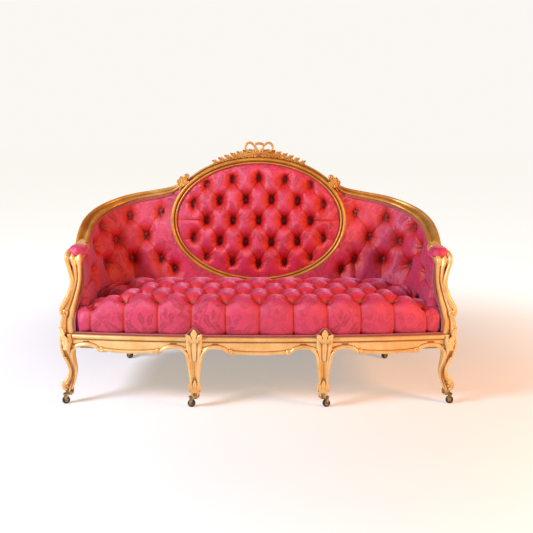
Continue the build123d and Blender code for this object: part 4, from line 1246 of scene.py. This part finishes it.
# Arms: a moulded rest that turns down into an S-shaped support, with an outer strand and a volute
ARM_LINE = [
    (0.711, FRONT_Y + 0.205, 0.588),
    (0.711, FRONT_Y + 0.130, 0.579),
    (0.709, FRONT_Y + 0.085, 0.576),
    (0.707, FRONT_Y + 0.060, 0.562),
    (0.701, FRONT_Y + 0.052, 0.530),
    (0.700, FRONT_Y + 0.043, 0.480),
    (0.714, FRONT_Y + 0.030, 0.420),
    (0.729, FRONT_Y + 0.019, 0.370),
    (0.737, FRONT_Y + 0.012, 0.330),
    (0.738, FRONT_Y + 0.006, 0.284),
]
ARM_WIDE = (0.046, 0.048, 0.050, 0.046, 0.032, 0.027, 0.032, 0.042, 0.050, 0.058)
ARM_DEEP = (0.036, 0.038, 0.040, 0.038, 0.034, 0.033, 0.034, 0.038, 0.042, 0.046)
ARM_STRAND = [
    (0.717, FRONT_Y + 0.205, 0.594),
    (0.729, FRONT_Y + 0.160, 0.588),
    (0.735, FRONT_Y + 0.110, 0.585),
    (0.737, FRONT_Y + 0.066, 0.586),
    (0.739, FRONT_Y + 0.044, 0.574),
    (0.737, FRONT_Y + 0.038, 0.554),
    (0.727, FRONT_Y + 0.034, 0.520),
    (0.719, FRONT_Y + 0.028, 0.480),
    (0.727, FRONT_Y + 0.020, 0.440),
    (0.745, FRONT_Y + 0.010, 0.402),
    (0.757, FRONT_Y + 0.006, 0.378),
    (0.754, FRONT_Y + 0.002, 0.358),
]
ARM_SECTION = section(
    [
        (-0.50, 0.42),
        (-0.50, -0.30),
        (-0.46, -0.46),
        (-0.34, -0.52),
        (-0.20, -0.50),
        (-0.10, -0.40),
        (-0.04, -0.33),
        (0.04, -0.33),
        (0.10, -0.42),
        (0.22, -0.52),
        (0.36, -0.52),
        (0.46, -0.44),
        (0.50, -0.28),
        (0.50, 0.42),
        (0.40, 0.50),
        (-0.40, 0.50),
    ]
)


def arm_scrolls():
    line, t = curve(ARM_LINE, 110)
    place = run_along(np.array(ARM_LINE))
    place = place / place[-1]
    wide = smooth_between(t, np.stack([place, ARM_WIDE], axis=1))
    deep = smooth_between(t, np.stack([place, ARM_DEEP], axis=1))
    across, out = path_axes(line, (1.0, 0.0, 0.0))
    if out[-1, 1] < 0:
        out = -out
    main = sweep(line, across, out, ARM_SECTION[None] * np.stack([wide, deep], axis=-1)[:, None])
    strand = tube(
        ARM_STRAND,
        (0.009, 0.011, 0.012, 0.010, 0.008, 0.009, 0.010, 0.010, 0.009),
        110,
        flat=1.15,
    )
    y = FRONT_Y
    volute = spiral((0.745, y, 0.366), (1, 0, 0), (0, 0, 1), 0.4, -1.6, 0.0135, 0.003, 0.0078)
    middle = [(0.745, y - 0.012, 0.366), (0.745, y + 0.008, 0.366)]
    eye = tube(middle, (0.0035, 0.005, 0.005), 10, (1, 0, 0))
    knee = leaf((0.748, y - 0.022, 0.262), (0.10, 0.12, 1.0), (0.75, -0.75, 0.1), 0.055, 0.030, 0.012)
    curl = spiral((0.757, y - 0.012, 0.305), (1, 0, 0), (0, 0, 1), 3.4, -1.3, 0.009, 0.002, 0.0055)
    base = (0.711, y + 0.128, 0.592)
    cover = leaf(base, (0.0, 0.9, 0.42), (0.0, -0.4, 0.9), 0.062, 0.044, 0.002, 3, 0.008)
    grids = [main, strand, volute, eye, knee, curl, cover]
    carved_pair("arm_scroll", grids, ("arm_rest", "arm_support"))


# Front rail: three moulded bays with arches beside the legs and scrolled ends
FRONT = (0.0, -1.0, 0.0)
LEG_EDGE_OUT = 0.2795
LEG_EDGE_IN = 0.2145
POST_IN = 0.709
BELLY_Z = 0.215
BAY_LAP = 0.006  # how far a bay runs on into its legs
# The underside beside a leg: away from the leg, and up
ARCH = (
    (0.000, 0.2300),
    (0.016, 0.2360),
    (0.036, 0.2400),
    (0.062, 0.2395),
    (0.084, 0.2330),
    (0.101, 0.2200),
)
SCROLL_Z = ARCH[-1][1]
# Section of the rail: forwards, the edge it is measured from, and how far from that edge
RAIL_PROFILE = (
    (-0.018, "top", 0.0),
    (-0.018, "low", 0.0),
    (0.0060, "low", 0.0),
    (0.0160, "low", 0.0008),
    (0.0212, "low", 0.0035),
    (0.0230, "low", 0.0075),
    (0.0212, "low", 0.0115),
    (0.0160, "low", 0.0138),
    (0.0146, "low", 0.0150),
    (0.0151, "low", 0.0164),
    (0.0153, "low", 0.0180),
    (0.0154, "mid", 0.0),
    (0.0154, "top", 0.0262),
    (0.0153, "top", 0.0242),
    (0.0149, "top", 0.0226),
    (0.0130, "top", 0.0208),
    (0.0140, "top", 0.0186),
    (0.0200, "top", 0.0150),
    (0.0222, "top", 0.0105),
    (0.0208, "top", 0.0050),
    (0.0165, "top", 0.0015),
    (0.0110, "top", 0.0),
)


def arch_stops(leg, way):
    """The underside from a leg over its arch to a scroll end."""
    return [(leg + way * reach, z) for reach, z in ARCH]


def bay(x0, x1):
    """One bay of the front rail between two legs."""
    middle = (x0 + x1) / 2
    scroll0, scroll1 = x0 + ARCH[-1][0], x1 - ARCH[-1][0]
    belly = [(middle, BELLY_Z)]
    for share in (0.55, 0.90):
        z = BELLY_Z + (SCROLL_Z + 0.002 - BELLY_Z) * share**2
        belly.insert(0, (middle + share * (scroll0 - middle), z))
        belly.append((middle + share * (scroll1 - middle), z))
    stops = arch_stops(x0, 1) + belly + arch_stops(x1, -1)[::-1]
    x = np.linspace(x0 - BAY_LAP, x1 + BAY_LAP, 150)
    low = smooth_between(x, stops)
    columns = []
    for forward, edge, offset in RAIL_PROFILE:
        heights = {"low": low + offset, "top": RAIL_TOP - offset, "mid": (low + RAIL_TOP) / 2 - 0.003}
        columns.append(stack(x, front_y(x, forward), heights[edge]))
    columns.append(columns[0])
    return np.stack(columns, axis=1)


def arch_bead(x, leg_line, way, axis):
    """An arch's bead, from its scroll over the rail and down a leg, and the bracket behind it."""
    rail = [(x + way * reach, front_y(x + way * reach, 0.0190), z + 0.0050) for reach, z in ARCH[:0:-1]]
    bead = tube(rail + leg_line, (0.0046, 0.0056, 0.0058, 0.0054, 0.0036), 120, FRONT)
    tip = rail[0]
    eye = (tip[0] + way * 0.004, tip[1] - 0.002, tip[2] + 0.0065)
    curl = spiral(eye, (way, 0, 0), (0, 0, 1), -1.7, 1.3, 0.0075, 0.002, 0.0046)
    base = (tip[0] - way * 0.010, tip[1], tip[2] + 0.002)
    tail = leaf(base, (way, 0, -0.12), FRONT, 0.040, 0.011, 0.001, 1, 0.004)
    line = curve(rail[3:] + leg_line[:4], 40)[0]
    inside = line.copy()
    inside[:, 0] = axis
    deep = np.array([0.0, 0.020, 0.0])
    face = np.array([0.0, 0.0035, 0.0])
    plate = np.stack([line + face, inside + face, inside + deep, line + deep, line + face], axis=1)
    return [bead, curl, tail, plate]


def front_rails():
    carved_pair("front_moulding", [bay(LEG_EDGE_OUT, POST_IN)], ("front_rail",))
    carved("front_moulding_centre", [bay(-LEG_EDGE_IN, LEG_EDGE_IN)], ["front_rail_centre"])


# Legs
LEG_SECTION = section(
    [
        (-0.50, 0.30),
        (-0.50, -0.25),
        (-0.45, -0.45),
        (-0.35, -0.51),
        (-0.25, -0.46),
        (-0.16, -0.38),
        (0.00, -0.35),
        (0.16, -0.38),
        (0.25, -0.46),
        (0.35, -0.51),
        (0.45, -0.45),
        (0.50, -0.25),
        (0.50, 0.30),
        (0.38, 0.50),
        (-0.38, 0.50),
    ]
)
FOOT_Z = 0.047


def limb(stations, turn=0.0, shape=LEG_SECTION, count=90):
    """A leg through stations of height, x, y, width and depth, its front turned outwards."""
    table = np.array(stations, float)
    z = np.linspace(table[0, 0], table[-1, 0], count)
    x, y, wide, deep = (smooth_between(z, table[:, [0, i]]) for i in (1, 2, 3, 4))
    c, d = math.cos(turn), math.sin(turn)
    across = np.broadcast_to(np.array([c, d, 0.0]), (count, 3))
    out = np.broadcast_to(np.array([-d, c, 0.0]), (count, 3))
    return sweep(stack(x, y, z), across, out, shape[None] * np.stack([wide, deep], axis=-1)[:, None])


CORNER_TURN = math.radians(32.0)


def corner_legs():
    x, y = CORNER_LEG_X, FRONT_Y
    post = [
        (FOOT_Z, x - 0.001, y - 0.001, 0.024, 0.024),
        (0.066, x - 0.002, y - 0.001, 0.025, 0.025),
        (0.092, x - 0.011, y + 0.006, 0.023, 0.023),
        (0.122, x - 0.019, y + 0.011, 0.021, 0.022),
        (0.145, x - 0.019, y + 0.010, 0.022, 0.024),
        (0.190, x - 0.010, y + 0.002, 0.032, 0.034),
        (0.230, x - 0.005, y - 0.004, 0.044, 0.046),
        (0.286, x - 0.007, y - 0.001, 0.050, 0.046),
    ]
    leg = limb(post, CORNER_TURN)
    fore = np.array([math.sin(CORNER_TURN), -math.cos(CORNER_TURN), 0.0])
    toe = (0.7500, y - 0.010, 0.069)
    foot = spiral(toe, (0.86, -0.5, 0), (0, 0, 1), 1.2, -1.5, 0.0125, 0.003, 0.0066)
    neck = tube(
        [
            (0.744, y - 0.026, 0.196),
            (0.733, y - 0.012, 0.150),
            (0.733, y - 0.008, 0.124),
            (0.741, y - 0.014, 0.104),
            (0.754, y - 0.018, 0.090),
            (0.7605, y - 0.017, 0.074),
        ],
        (0.003, 0.0055, 0.0062, 0.0072, 0.0080, 0.0066),
        70,
        fore,
    )
    edge = [
        (0.757, y - 0.012, 0.284),
        (0.760, y - 0.018, 0.245),
        (0.756, y - 0.016, 0.212),
        (0.744, y - 0.004, 0.165),
    ]
    rim = tube(edge, (0.005, 0.0062, 0.0058, 0.003), 50, fore)
    inner = [
        (0.7165, y - 0.0235, 0.222),
        (0.7205, y - 0.0200, 0.200),
        (0.7185, y - 0.0130, 0.177),
        (0.7125, y - 0.0040, 0.150),
        (0.7115, y - 0.0010, 0.130),
        (0.7145, y - 0.0040, 0.102),
        (0.7285, y - 0.0120, 0.062),
    ]
    brow = leaf((0.739, y - 0.030, 0.226), (0.02, 0.0, 1.0), fore, 0.058, 0.036, 0.004, thick=0.006)
    grids = [leg, foot, neck, rim, brow] + arch_bead(POST_IN, inner, -1, x - 0.009)
    carved_pair("corner_cabriole", grids, ("front_leg",))


# The bead down a centre leg: to its side, forwards of its middle, and up
CENTRE_BEAD = (
    (0.0285, 0.0225, 0.218),
    (0.0230, 0.0205, 0.192),
    (0.0185, 0.0185, 0.160),
    (0.0145, 0.0170, 0.125),
    (0.0150, 0.0155, 0.092),
    (0.0140, 0.0140, 0.064),
)
# Leaves on a centre leg's knuckle: lean, length and width
KNUCKLE = ((0.0, 0.052, 0.022), (0.75, 0.040, 0.018), (-0.75, 0.040, 0.018))


def centre_legs():
    x = MID_LEG_X
    y = float(front_y(x))
    post = [
        (FOOT_Z, x, y, 0.026, 0.026),
        (0.064, x, y, 0.032, 0.033),
        (0.080, x, y + 0.001, 0.034, 0.036),
        (0.125, x, y + 0.002, 0.032, 0.038),
        (0.165, x, y + 0.001, 0.039, 0.041),
        (0.208, x, y - 0.001, 0.050, 0.045),
        (0.244, x, y - 0.003, 0.062, 0.050),
        (0.286, x, y - 0.002, 0.066, 0.046),
    ]
    grids = [limb(post)]
    for way, edge in ((1, LEG_EDGE_OUT), (-1, LEG_EDGE_IN)):
        side = [(x + way * reach, y - out, z) for reach, out, z in CENTRE_BEAD]
        grids += arch_bead(edge, side, way, x)
    front = float(front_y(x, 0.026))
    for lean, length, width in KNUCKLE:
        base = (x + 0.008 * lean, front, 0.268)
        grids.append(leaf(base, (lean, 0.0, 1.0), FRONT, length, width, 0.005, 2, 0.007))
    grids.append(leaf((x, front + 0.001, 0.272), (0, 0.06, -1), FRONT, 0.080, 0.020, 0.0, 1, 0.006))
    for lean, length in ((0.0, 0.052), (0.34, 0.040), (-0.34, 0.040)):
        base = (x + 0.022 * lean, y - 0.0165, 0.064)
        grids.append(leaf(base, (lean, 0.02, 1.0), FRONT, length, 0.016, 0.003, 2, 0.006))
    for way in (-1, 1):
        place = (x + way * 0.0150, y - 0.012, 0.072)
        grids.append(spiral(place, (way, -0.3, 0), (0, 0, 1), 1.2, -1.3, 0.0075, 0.002, 0.0042))
    carved_pair("centre_cabriole", grids, ("centre_leg",))


REAR_FOOT_X = 0.616
REAR_FOOT_Y = FRONT_Y + 0.546
STILE_X = 0.580
SQUARE = section([(-0.5, -0.5), (0.5, -0.5), (0.5, 0.5), (-0.5, 0.5)], 3)


def rear_legs():
    x, y = REAR_FOOT_X, REAR_FOOT_Y
    post = [
        (FOOT_Z, x - 0.001, y - 0.002, 0.026, 0.026),
        (0.064, x - 0.002, y - 0.005, 0.030, 0.030),
        (0.110, x - 0.013, y - 0.030, 0.030, 0.030),
        (0.165, x - 0.024, y - 0.058, 0.038, 0.040),
        (0.221, STILE_X, y - 0.084, 0.050, 0.058),
        (0.286, STILE_X, y - 0.084, 0.054, 0.062),
    ]
    carved_pair("rear_cabriole", [limb(post, shape=SQUARE)], ("rear_leg",))


SIDE_BEADS = ((0.2285, 0.0055), (0.2400, 0.0028), (0.2770, 0.0045))  # height and radius


def side_beads():
    """Beads along the outer face of the side and rear rails."""
    s = np.linspace(0.0, ARM_START + 0.110, 90)
    grids = []
    for z, radius in SIDE_BEADS:
        line = wall(s, outer(s, RAIL_TOP) + 0.0010, z)
        grids.append(tube(line, (radius, radius), 160, (0, 0, 1), around=8))
    carved_pair("side_bead", grids)


# Crest: a ribbon bow over a garland of flowers and leaves, and a leaf on each shoulder
KNOT_V = MED_B + 0.0475
KNOT_W = 0.008
GARLAND_START = 0.024
GARLAND_END = 0.193
GARLAND_COUNT = 7
RIBBON = section([(-1, -0.5), (0, -0.36), (1, -0.5), (1, 0.5), (0, 0.36), (-1, 0.5)])
RIBBON_THICK = 0.0105
# Loops of the bow: angle in degrees, then length, half width and depth
BOW_LOOPS = (
    (150.0, (0.066, 0.019, 0.010)),
    (30.0, (0.066, 0.019, 0.010)),
    (90.0, (0.040, 0.020, 0.010)),
)
# A ribbon's end: across, up and its wave
TAIL = (
    (0.006, KNOT_V - 0.002, 0.0),
    (0.040, KNOT_V - 0.010, 0.004),
    (0.075, KNOT_V - 0.010, -0.006),
    (0.105, KNOT_V - 0.024, 0.004),
)
# Leaves on a shoulder: turn, length, width and curl
SHOULDER = (
    (-0.42, 0.054, 0.026, 0.012),
    (0.05, 0.044, 0.022, 0.012),
    (0.55, 0.034, 0.018, 0.008),
    (-0.95, 0.040, 0.018, 0.006),
)


def flower(u, v, w, size):
    """Five domed petals round a bead, facing out of the medallion."""
    grids = []
    for k in range(5):
        a = 2 * math.pi * k / 5 + 0.3
        along = math.cos(a) * np.array([1.0, 0.0, 0.0]) + math.sin(a) * MED_UP
        base = on_medallion(u, v, w) + 0.1 * size * along
        grids.append(leaf(base, along, MED_OUT, 0.55 * size, 0.5 * size, 0.10 * size, 1, 0.16 * size, 9))
    middle = on_medallion(u, v, w)
    radius = (0.16 * size, 0.17 * size, 0.05 * size)
    grids.append(tube([middle, middle + 0.3 * size * MED_OUT], radius, 7, (1, 0, 0), 1.0, 8))
    return grids


def bow_loop(angle, length, width, depth):
    """A ribbon loop that leaves the knot at an angle and comes back to it."""
    t = np.linspace(0.0, 1.0, 48)
    reach = length * np.sin(math.pi * t) ** 0.9
    swing = width * np.sin(2 * math.pi * t)
    u = reach * math.cos(angle) - swing * math.sin(angle)
    v = reach * math.sin(angle) + swing * math.cos(angle)
    line = on_medallion(u, KNOT_V + v, KNOT_W + 0.006 * np.sin(math.pi * t))
    across, out = path_axes(line, MED_OUT)
    return sweep(line, across, out, RIBBON * np.array([depth, RIBBON_THICK]))


def arch_spot(u, rise):
    """A place over the ring's top at u, so far above its outer edge."""
    edge = RING_W + 0.010 + rise
    return u, (MED_B + edge) * math.sqrt(1 - (u / (MED_A + edge)) ** 2)


def crest():
    grids = [bow_loop(math.radians(a), *size) for a, size in BOW_LOOPS]
    knot = on_medallion(0.0, KNOT_V, KNOT_W)
    side = np.array([0.010, 0.0, 0.0])
    grids.append(tube([knot - side, knot, knot + side], (0.006, 0.010, 0.006), 16, MED_UP, 1.2))
    for way in (-1, 1):
        tail = [on_medallion(way * u, v + wave, KNOT_W) for u, v, wave in TAIL]
        grids.append(tube(tail, (0.006, 0.007, 0.006, 0.003), 50, MED_OUT, 1.5))
        for k in range(GARLAND_COUNT):
            share = k / (GARLAND_COUNT - 1)
            u = GARLAND_START + (GARLAND_END - GARLAND_START) * share
            size = 0.029 * (1 - 0.42 * share)
            spot = arch_spot(u, 0.006 * (1 - 0.5 * share))
            grids += flower(way * spot[0], spot[1], 0.010, size)
            for lift in (0.9, -0.7):
                along = way * np.array([1.0, 0.0, 0.0]) + (lift - 0.45 * share) * MED_UP
                base = on_medallion(way * spot[0], spot[1], 0.006)
                face = MED_OUT + 0.2 * MED_UP
                grids.append(leaf(base, along, face, size, 0.5 * size, 0.25 * size, 2, 0.004, 16))
    carved("bow_crest", grids, ["crest_carving"], SHADED_GILT)


def shoulder_leaves():
    base = on_medallion(0.341, 0.150, 0.012)
    grids = []
    for turn, length, width, curl in SHOULDER:
        along = math.sin(turn) * np.array([1.0, 0.0, 0.0]) + math.cos(turn) * MED_UP
        grids.append(leaf(base, along, MED_OUT + 0.3 * along, length, width, curl, 3, 0.010))
    tip = on_medallion(0.317, 0.193, 0.022)
    grids.append(spiral(tip, (-1, 0, 0), MED_UP, 2.8, -1.3, 0.009, 0.003, 0.0055))
    grids += [flipped(g) for g in grids]
    carved("shoulder_leaf_set", grids, ["shoulder_leaves"], SHADED_GILT)


# Gimp: a braid of two cords along the seams
CORD = 0.0030
KNUCKLE_RISE = 0.030  # the front braid climbs over each centre leg's knuckle
KNUCKLE_RUN = 0.020
# The seam down the inside of an arm support
ARM_SEAM = [
    (0.684, FRONT_Y + 0.056, 0.552),
    (0.679, FRONT_Y + 0.050, 0.500),
    (0.686, FRONT_Y + 0.040, 0.440),
    (0.703, FRONT_Y + 0.022, 0.385),
    (0.708, FRONT_Y - 0.006, 0.340),
    (0.707, FRONT_Y - 0.012, 0.296),
]


def braid(points, count, lay):
    """Two cords side by side, with the bumps of their twist. lay is the way from one to the other."""
    line = curve(points, count)[0]
    across, out = path_axes(line, lay)
    bumps = 1 + 0.16 * np.sin(np.arange(count) * math.pi / 2)
    grids = []
    for way in (-1, 1):
        middle = line + way * 0.9 * CORD * across
        grids.append(sweep(middle, across, out, oval_section(8)[None] * (CORD * bumps)[:, None, None]))
    return grids


def gimp():
    x = np.linspace(-POST_IN + 0.004, POST_IN - 0.004, 121)
    lift = KNUCKLE_RISE * np.exp(-(((np.abs(x) - MID_LEG_X) / KNUCKLE_RUN) ** 2))
    front = stack(x, front_y(x, 0.0125 + 0.18 * lift), RAIL_TOP + 0.0040 + lift)
    carved("front_braid", braid(front, 900, (0, -0.5, 1)), ["gimp_front"], BRAID)
    s = np.linspace(RAIL_START + 0.04, ARM_START - 0.02, 40)
    edge = wall(s, rail_w(s) * 0.95, ceiling(s) - 0.003)
    grids = braid(edge, 500, (0, 0, 1)) + braid(ARM_SEAM, 120, (1, 0, 0))
    carved("wing_braid", grids + [flipped(g) for g in grids], ["gimp_arms"], BRAID)


def back_gimp():
    """Braid where the outside back meets the rails below it."""
    s = np.linspace(0.0, ARM_START + 0.108, 90)
    low = wall(s, outer(s, RAIL_TOP + 0.004) - 0.0008, RAIL_TOP + 0.004)
    grids = braid(low, 1000, (0, 0, 1))
    grids += [flipped(g) for g in grids]
    carved("outside_braid", grids, (), BRAID)


# Arm pads and outside back
ARM_PAD_X = 0.706
ARM_PAD_Y = FRONT_Y + 0.096
ARM_PAD_HALF = (0.038, 0.046)
ARM_PAD_SINK = 0.016
ARM_PAD_RISE = 0.031
ARM_PAD_SKIRT = 0.004
ARM_PAD_FOLD = 0.0012


def arm_pads():
    across = np.linspace(-1.0, 1.0, 44)
    p, q = np.meshgrid(across, across)
    p, q = p * np.sqrt(1 - q * q / 2), q * np.sqrt(1 - p * p / 2)
    r = np.clip(np.hypot(p, q), 0.0, 1.0)
    box = np.maximum(np.abs(p), np.abs(q)) / np.maximum(r, 1e-6)
    square = 1 + 0.22 * (1 / np.maximum(box, 0.7) - 1)
    z = ARM_TOP - ARM_PAD_SINK + ARM_PAD_RISE * np.sqrt(np.clip(1 - r**3.0, 0.0, 1.0))
    x = ARM_PAD_X + ARM_PAD_HALF[0] * p * square
    y = ARM_PAD_Y + ARM_PAD_HALF[1] * q * square
    points = stack(x, y, z)
    points[..., 2] += ARM_PAD_FOLD * np.sin(q * 9.0 + 1.2 * np.sin(3 * p)) * (1 - r**2)
    uv = np.stack([x, y], axis=-1)
    down = np.zeros_like(points)
    down[..., 2] = -ARM_PAD_SKIRT
    for side, turn in SIDES:
        nodes = ("arm_pad_" + side,)
        stuffed_pad("arm_cushion_" + side, turn(points), uv, down, nodes)


OUTSIDE_LAP = 0.006  # how far the outside covering runs on behind the rail
OUTSIDE_DEEP = 0.034  # the medallion's back behind its plane
OUTSIDE_SWELL = 0.005


def outside_back():
    s, z = wing_grid(24, 110, lambda s: wing_ceiling(s) + OUTSIDE_LAP, 0.0, RAIL_TOP + 0.001)
    face = wall(s, outer(s, z), z)
    rear = wall(s, outer(s, z) + SHELL, z)
    uv = np.stack([s, z], axis=-1)
    for side, turn in SIDES:
        name = "outside_back_" + side
        curved_pad(name, turn(face), uv, turn(rear), ("wing_back_" + side,), OUTBACK)


def medallion_outside():
    """The medallion's plain back, swelling a little inside the ring."""
    u, v = med_disc(64)
    swell = OUTSIDE_SWELL * (1 - ((u / MED_A) ** 2 + (v / MED_B) ** 2))
    face = on_medallion(u, v, -OUTSIDE_DEEP - swell)
    rear = on_medallion(u, v, -MED_BACKING)
    uv = np.stack([u, v], axis=-1)
    curved_pad("medallion_outside", face, uv, rear, ("medallion_back",), OUTBACK)


# The sheet tacked under the seat, between the rails
DUST_X = 0.695
DUST_REAR = 0.2108
DUST_FRONT = 0.018  # behind the front line
DUST_Z = 0.251
DUST_SAG = 0.005
DUST_PUCKER = 0.0010
DUST_THICK = 0.0015
DUST_CORNER = (0.513, 0.0298, 0.182)  # middle and radius of its rounded rear corner
DUST_FINE = (36, 401)
LEG_NOTCH_HALF = 0.0335
LEG_NOTCH = 0.008
STILE_HALF = 0.028
STILE_FRONT = 0.184


def dust_sheet():
    rows, cols = DUST_FINE
    x = np.linspace(-DUST_X, DUST_X, cols)
    side = np.abs(x)
    middle_x, middle_y, radius = DUST_CORNER
    notch = np.abs(side - MID_LEG_X) < LEG_NOTCH_HALF
    front = front_y(x, -DUST_FRONT) + np.where(notch, LEG_NOTCH, 0.0)
    round_off = middle_y + np.sqrt(radius**2 - np.maximum(side - middle_x, 0.0) ** 2)
    rear = np.minimum(DUST_REAR, round_off)
    notch = np.abs(side - STILE_X) < STILE_HALF
    rear = np.where(notch, np.minimum(rear, STILE_FRONT), rear)
    t = np.linspace(0.0, 1.0, rows)[:, None]
    y = front + (rear - front) * t
    sag = DUST_SAG * 4 * t * (1 - t) * (1 - (x / DUST_X) ** 4)
    pucker = DUST_PUCKER * np.sin(x * 95.0 + 1.5 * np.sin(x * 13.0)) * (1 - 4 * t * (1 - t))
    z = DUST_Z - sag + pucker
    face = stack(x, y, z)
    rear_face = stack(x, y, z + DUST_THICK)
    uv = face[..., :2]
    mesh = cloth_shell("dust_sheet", face, uv, rear_face, HESSIAN)
    made = piece("dust_sheet", mesh, replaces=("dust_cover",))


medallion_ring()
wing_rails()
arm_scrolls()
front_rails()
corner_legs()
centre_legs()
rear_legs()
side_beads()
crest()
shoulder_leaves()
gimp()
back_gimp()
arm_pads()
outside_back()
medallion_outside()
dust_sheet()


# The carried-over solids get their finish
FINISH = {
    "gilt_wood": GILT,
    "aged_brass": BRASS,
    "black_wheel": WHEEL,
    "spring_wire": STEEL,
    "bare_beech": BEECH,
    "hessian": HESSIAN,
    "webbing": WEB,
    "back_cloth": OUTBACK,
    "gimp_braid": BRAID,
    "silk_damask": SILK,
    "button_silk": BUTTON_CLOTH,
}
slot_of = {entry["node"]: entry["material_slot"] for entry in frame["record"]["subparts"]}
for name, node in frame["nodes"].items():
    node.data.materials.clear()
    node.data.materials.append(FINISH.get(slot_of.get(name), GILT))


# Floor, light and camera
CLEAR = 0.7  # round the settee the floor is lit mostly by the lamps
FAR = 2.8  # from here on it is as bright as the sky
FLOOR_GLOW = (0.34, 0.88)  # beside the settee, and far off
PAPER = rgb(1.0, 0.975, 0.935)
PAPER_STRENGTH = 0.96
SKY_TINT = rgb(1.0, 0.86, 0.72)
SKY_STRENGTH = 0.12


def floor():
    """A pale floor with painted light: it glows, more with distance, and so brightens into the
    background.
    """
    bm = bmesh.new()
    bmesh.ops.create_circle(bm, cap_ends=True, segments=96, radius=40.0)
    mesh = bpy.data.meshes.new("floor")
    bm.to_mesh(mesh)
    bm.free()
    t = Tree("pale_floor")
    place = t.node("TexCoord", out=3)
    away = t.node("VectorMath", out=1, settings={"operation": "LENGTH"})
    t.put(away.node.inputs[0], place)
    mottle = t.node("TexNoise", Vector=place, Scale=1.6, Detail=3.0)
    t.set(Base_Color=t.mix(mottle, rgb(0.60, 0.61, 0.64), rgb(0.66, 0.66, 0.68)), Roughness=0.85)
    # Painted light: the floor glows, weakly beside the settee and strongly far off
    t.set(Emission_Color=PAPER, Emission_Strength=t.ramp(away, CLEAR, FAR, *FLOOR_GLOW))
    mesh.materials.append(t.material)
    made = bpy.data.objects.new("floor", mesh)
    bpy.context.scene.collection.objects.link(made)


def area_light(name, place, aim, size, power, colour):
    lamp = bpy.data.lights.new(name, "AREA")
    lamp.shape = "DISK"
    lamp.size = size
    lamp.energy = power
    lamp.color = colour
    made = bpy.data.objects.new(name, lamp)
    made.location = place
    made.rotation_euler = (Vector(aim) - Vector(place)).to_track_quat("-Z", "Y").to_euler()
    bpy.context.scene.collection.objects.link(made)


def studio_sky():
    """Soft light from all round, which the camera sees as white paper."""
    world = bpy.data.worlds.new("studio")
    bpy.context.scene.world = world
    world.use_nodes = True
    nodes = world.node_tree.nodes
    links = world.node_tree.links
    soft = nodes["Background"]
    soft.inputs["Color"].default_value = SKY_TINT
    soft.inputs["Strength"].default_value = SKY_STRENGTH
    paper = nodes.new("ShaderNodeBackground")
    paper.inputs["Color"].default_value = PAPER
    paper.inputs["Strength"].default_value = PAPER_STRENGTH
    seen = nodes.new("ShaderNodeLightPath")
    both = nodes.new("ShaderNodeMixShader")
    links.new(seen.outputs["Is Camera Ray"], both.inputs[0])
    links.new(soft.outputs[0], both.inputs[1])
    links.new(paper.outputs[0], both.inputs[2])
    links.new(both.outputs[0], nodes["World Output"].inputs["Surface"])


floor()
studio_sky()
AIM = (0.0, 0.0, 0.5)
area_light("window_left", (-2.7, -1.5, 2.4), AIM, 1.2, 152.0, (0.87, 0.86, 1.0))
area_light("warm_right", (2.8, -1.4, 1.7), AIM, 1.2, 104.0, (1.0, 0.39, 0.09))
area_light("front_fill", (0.3, -3.4, 2.9), AIM, 1.2, 14.0, (1.0, 0.95, 0.92))

CAMERA_PLACE = Vector((-0.03236, -2.7786, 1.0436))
CAMERA_YAW = math.radians(1.305)
CAMERA_PITCH = math.radians(11.035)
CAMERA_ROLL = math.radians(0.473)
PHOTO_SIDE = 533.0
FOCAL_PIXELS = 680.0
PRINCIPAL = (266.5, 266.0)


def camera():
    """The camera of the photograph, from its calibrated place, turn and focal length."""
    lens = bpy.data.cameras.new("camera")
    lens.sensor_width = 36.0
    lens.lens = FOCAL_PIXELS / PHOTO_SIDE * lens.sensor_width
    lens.shift_x = (PHOTO_SIDE / 2 - PRINCIPAL[0]) / PHOTO_SIDE
    lens.shift_y = (PRINCIPAL[1] - PHOTO_SIDE / 2) / PHOTO_SIDE
    forward = Vector(
        (
            math.sin(CAMERA_YAW) * math.cos(CAMERA_PITCH),
            math.cos(CAMERA_YAW) * math.cos(CAMERA_PITCH),
            -math.sin(CAMERA_PITCH),
        )
    )
    level = Vector((math.cos(CAMERA_YAW), -math.sin(CAMERA_YAW), 0.0))
    above = level.cross(forward)
    right = level * math.cos(CAMERA_ROLL) + above * math.sin(CAMERA_ROLL)
    up = above * math.cos(CAMERA_ROLL) - level * math.sin(CAMERA_ROLL)
    made = bpy.data.objects.new("camera", lens)
    turn = Matrix((right, up, -forward)).transposed().to_4x4()
    made.matrix_world = Matrix.Translation(CAMERA_PLACE) @ turn
    bpy.context.scene.collection.objects.link(made)
    bpy.context.scene.camera = made


camera()
bpy.context.scene.view_settings.view_transform = "Standard"
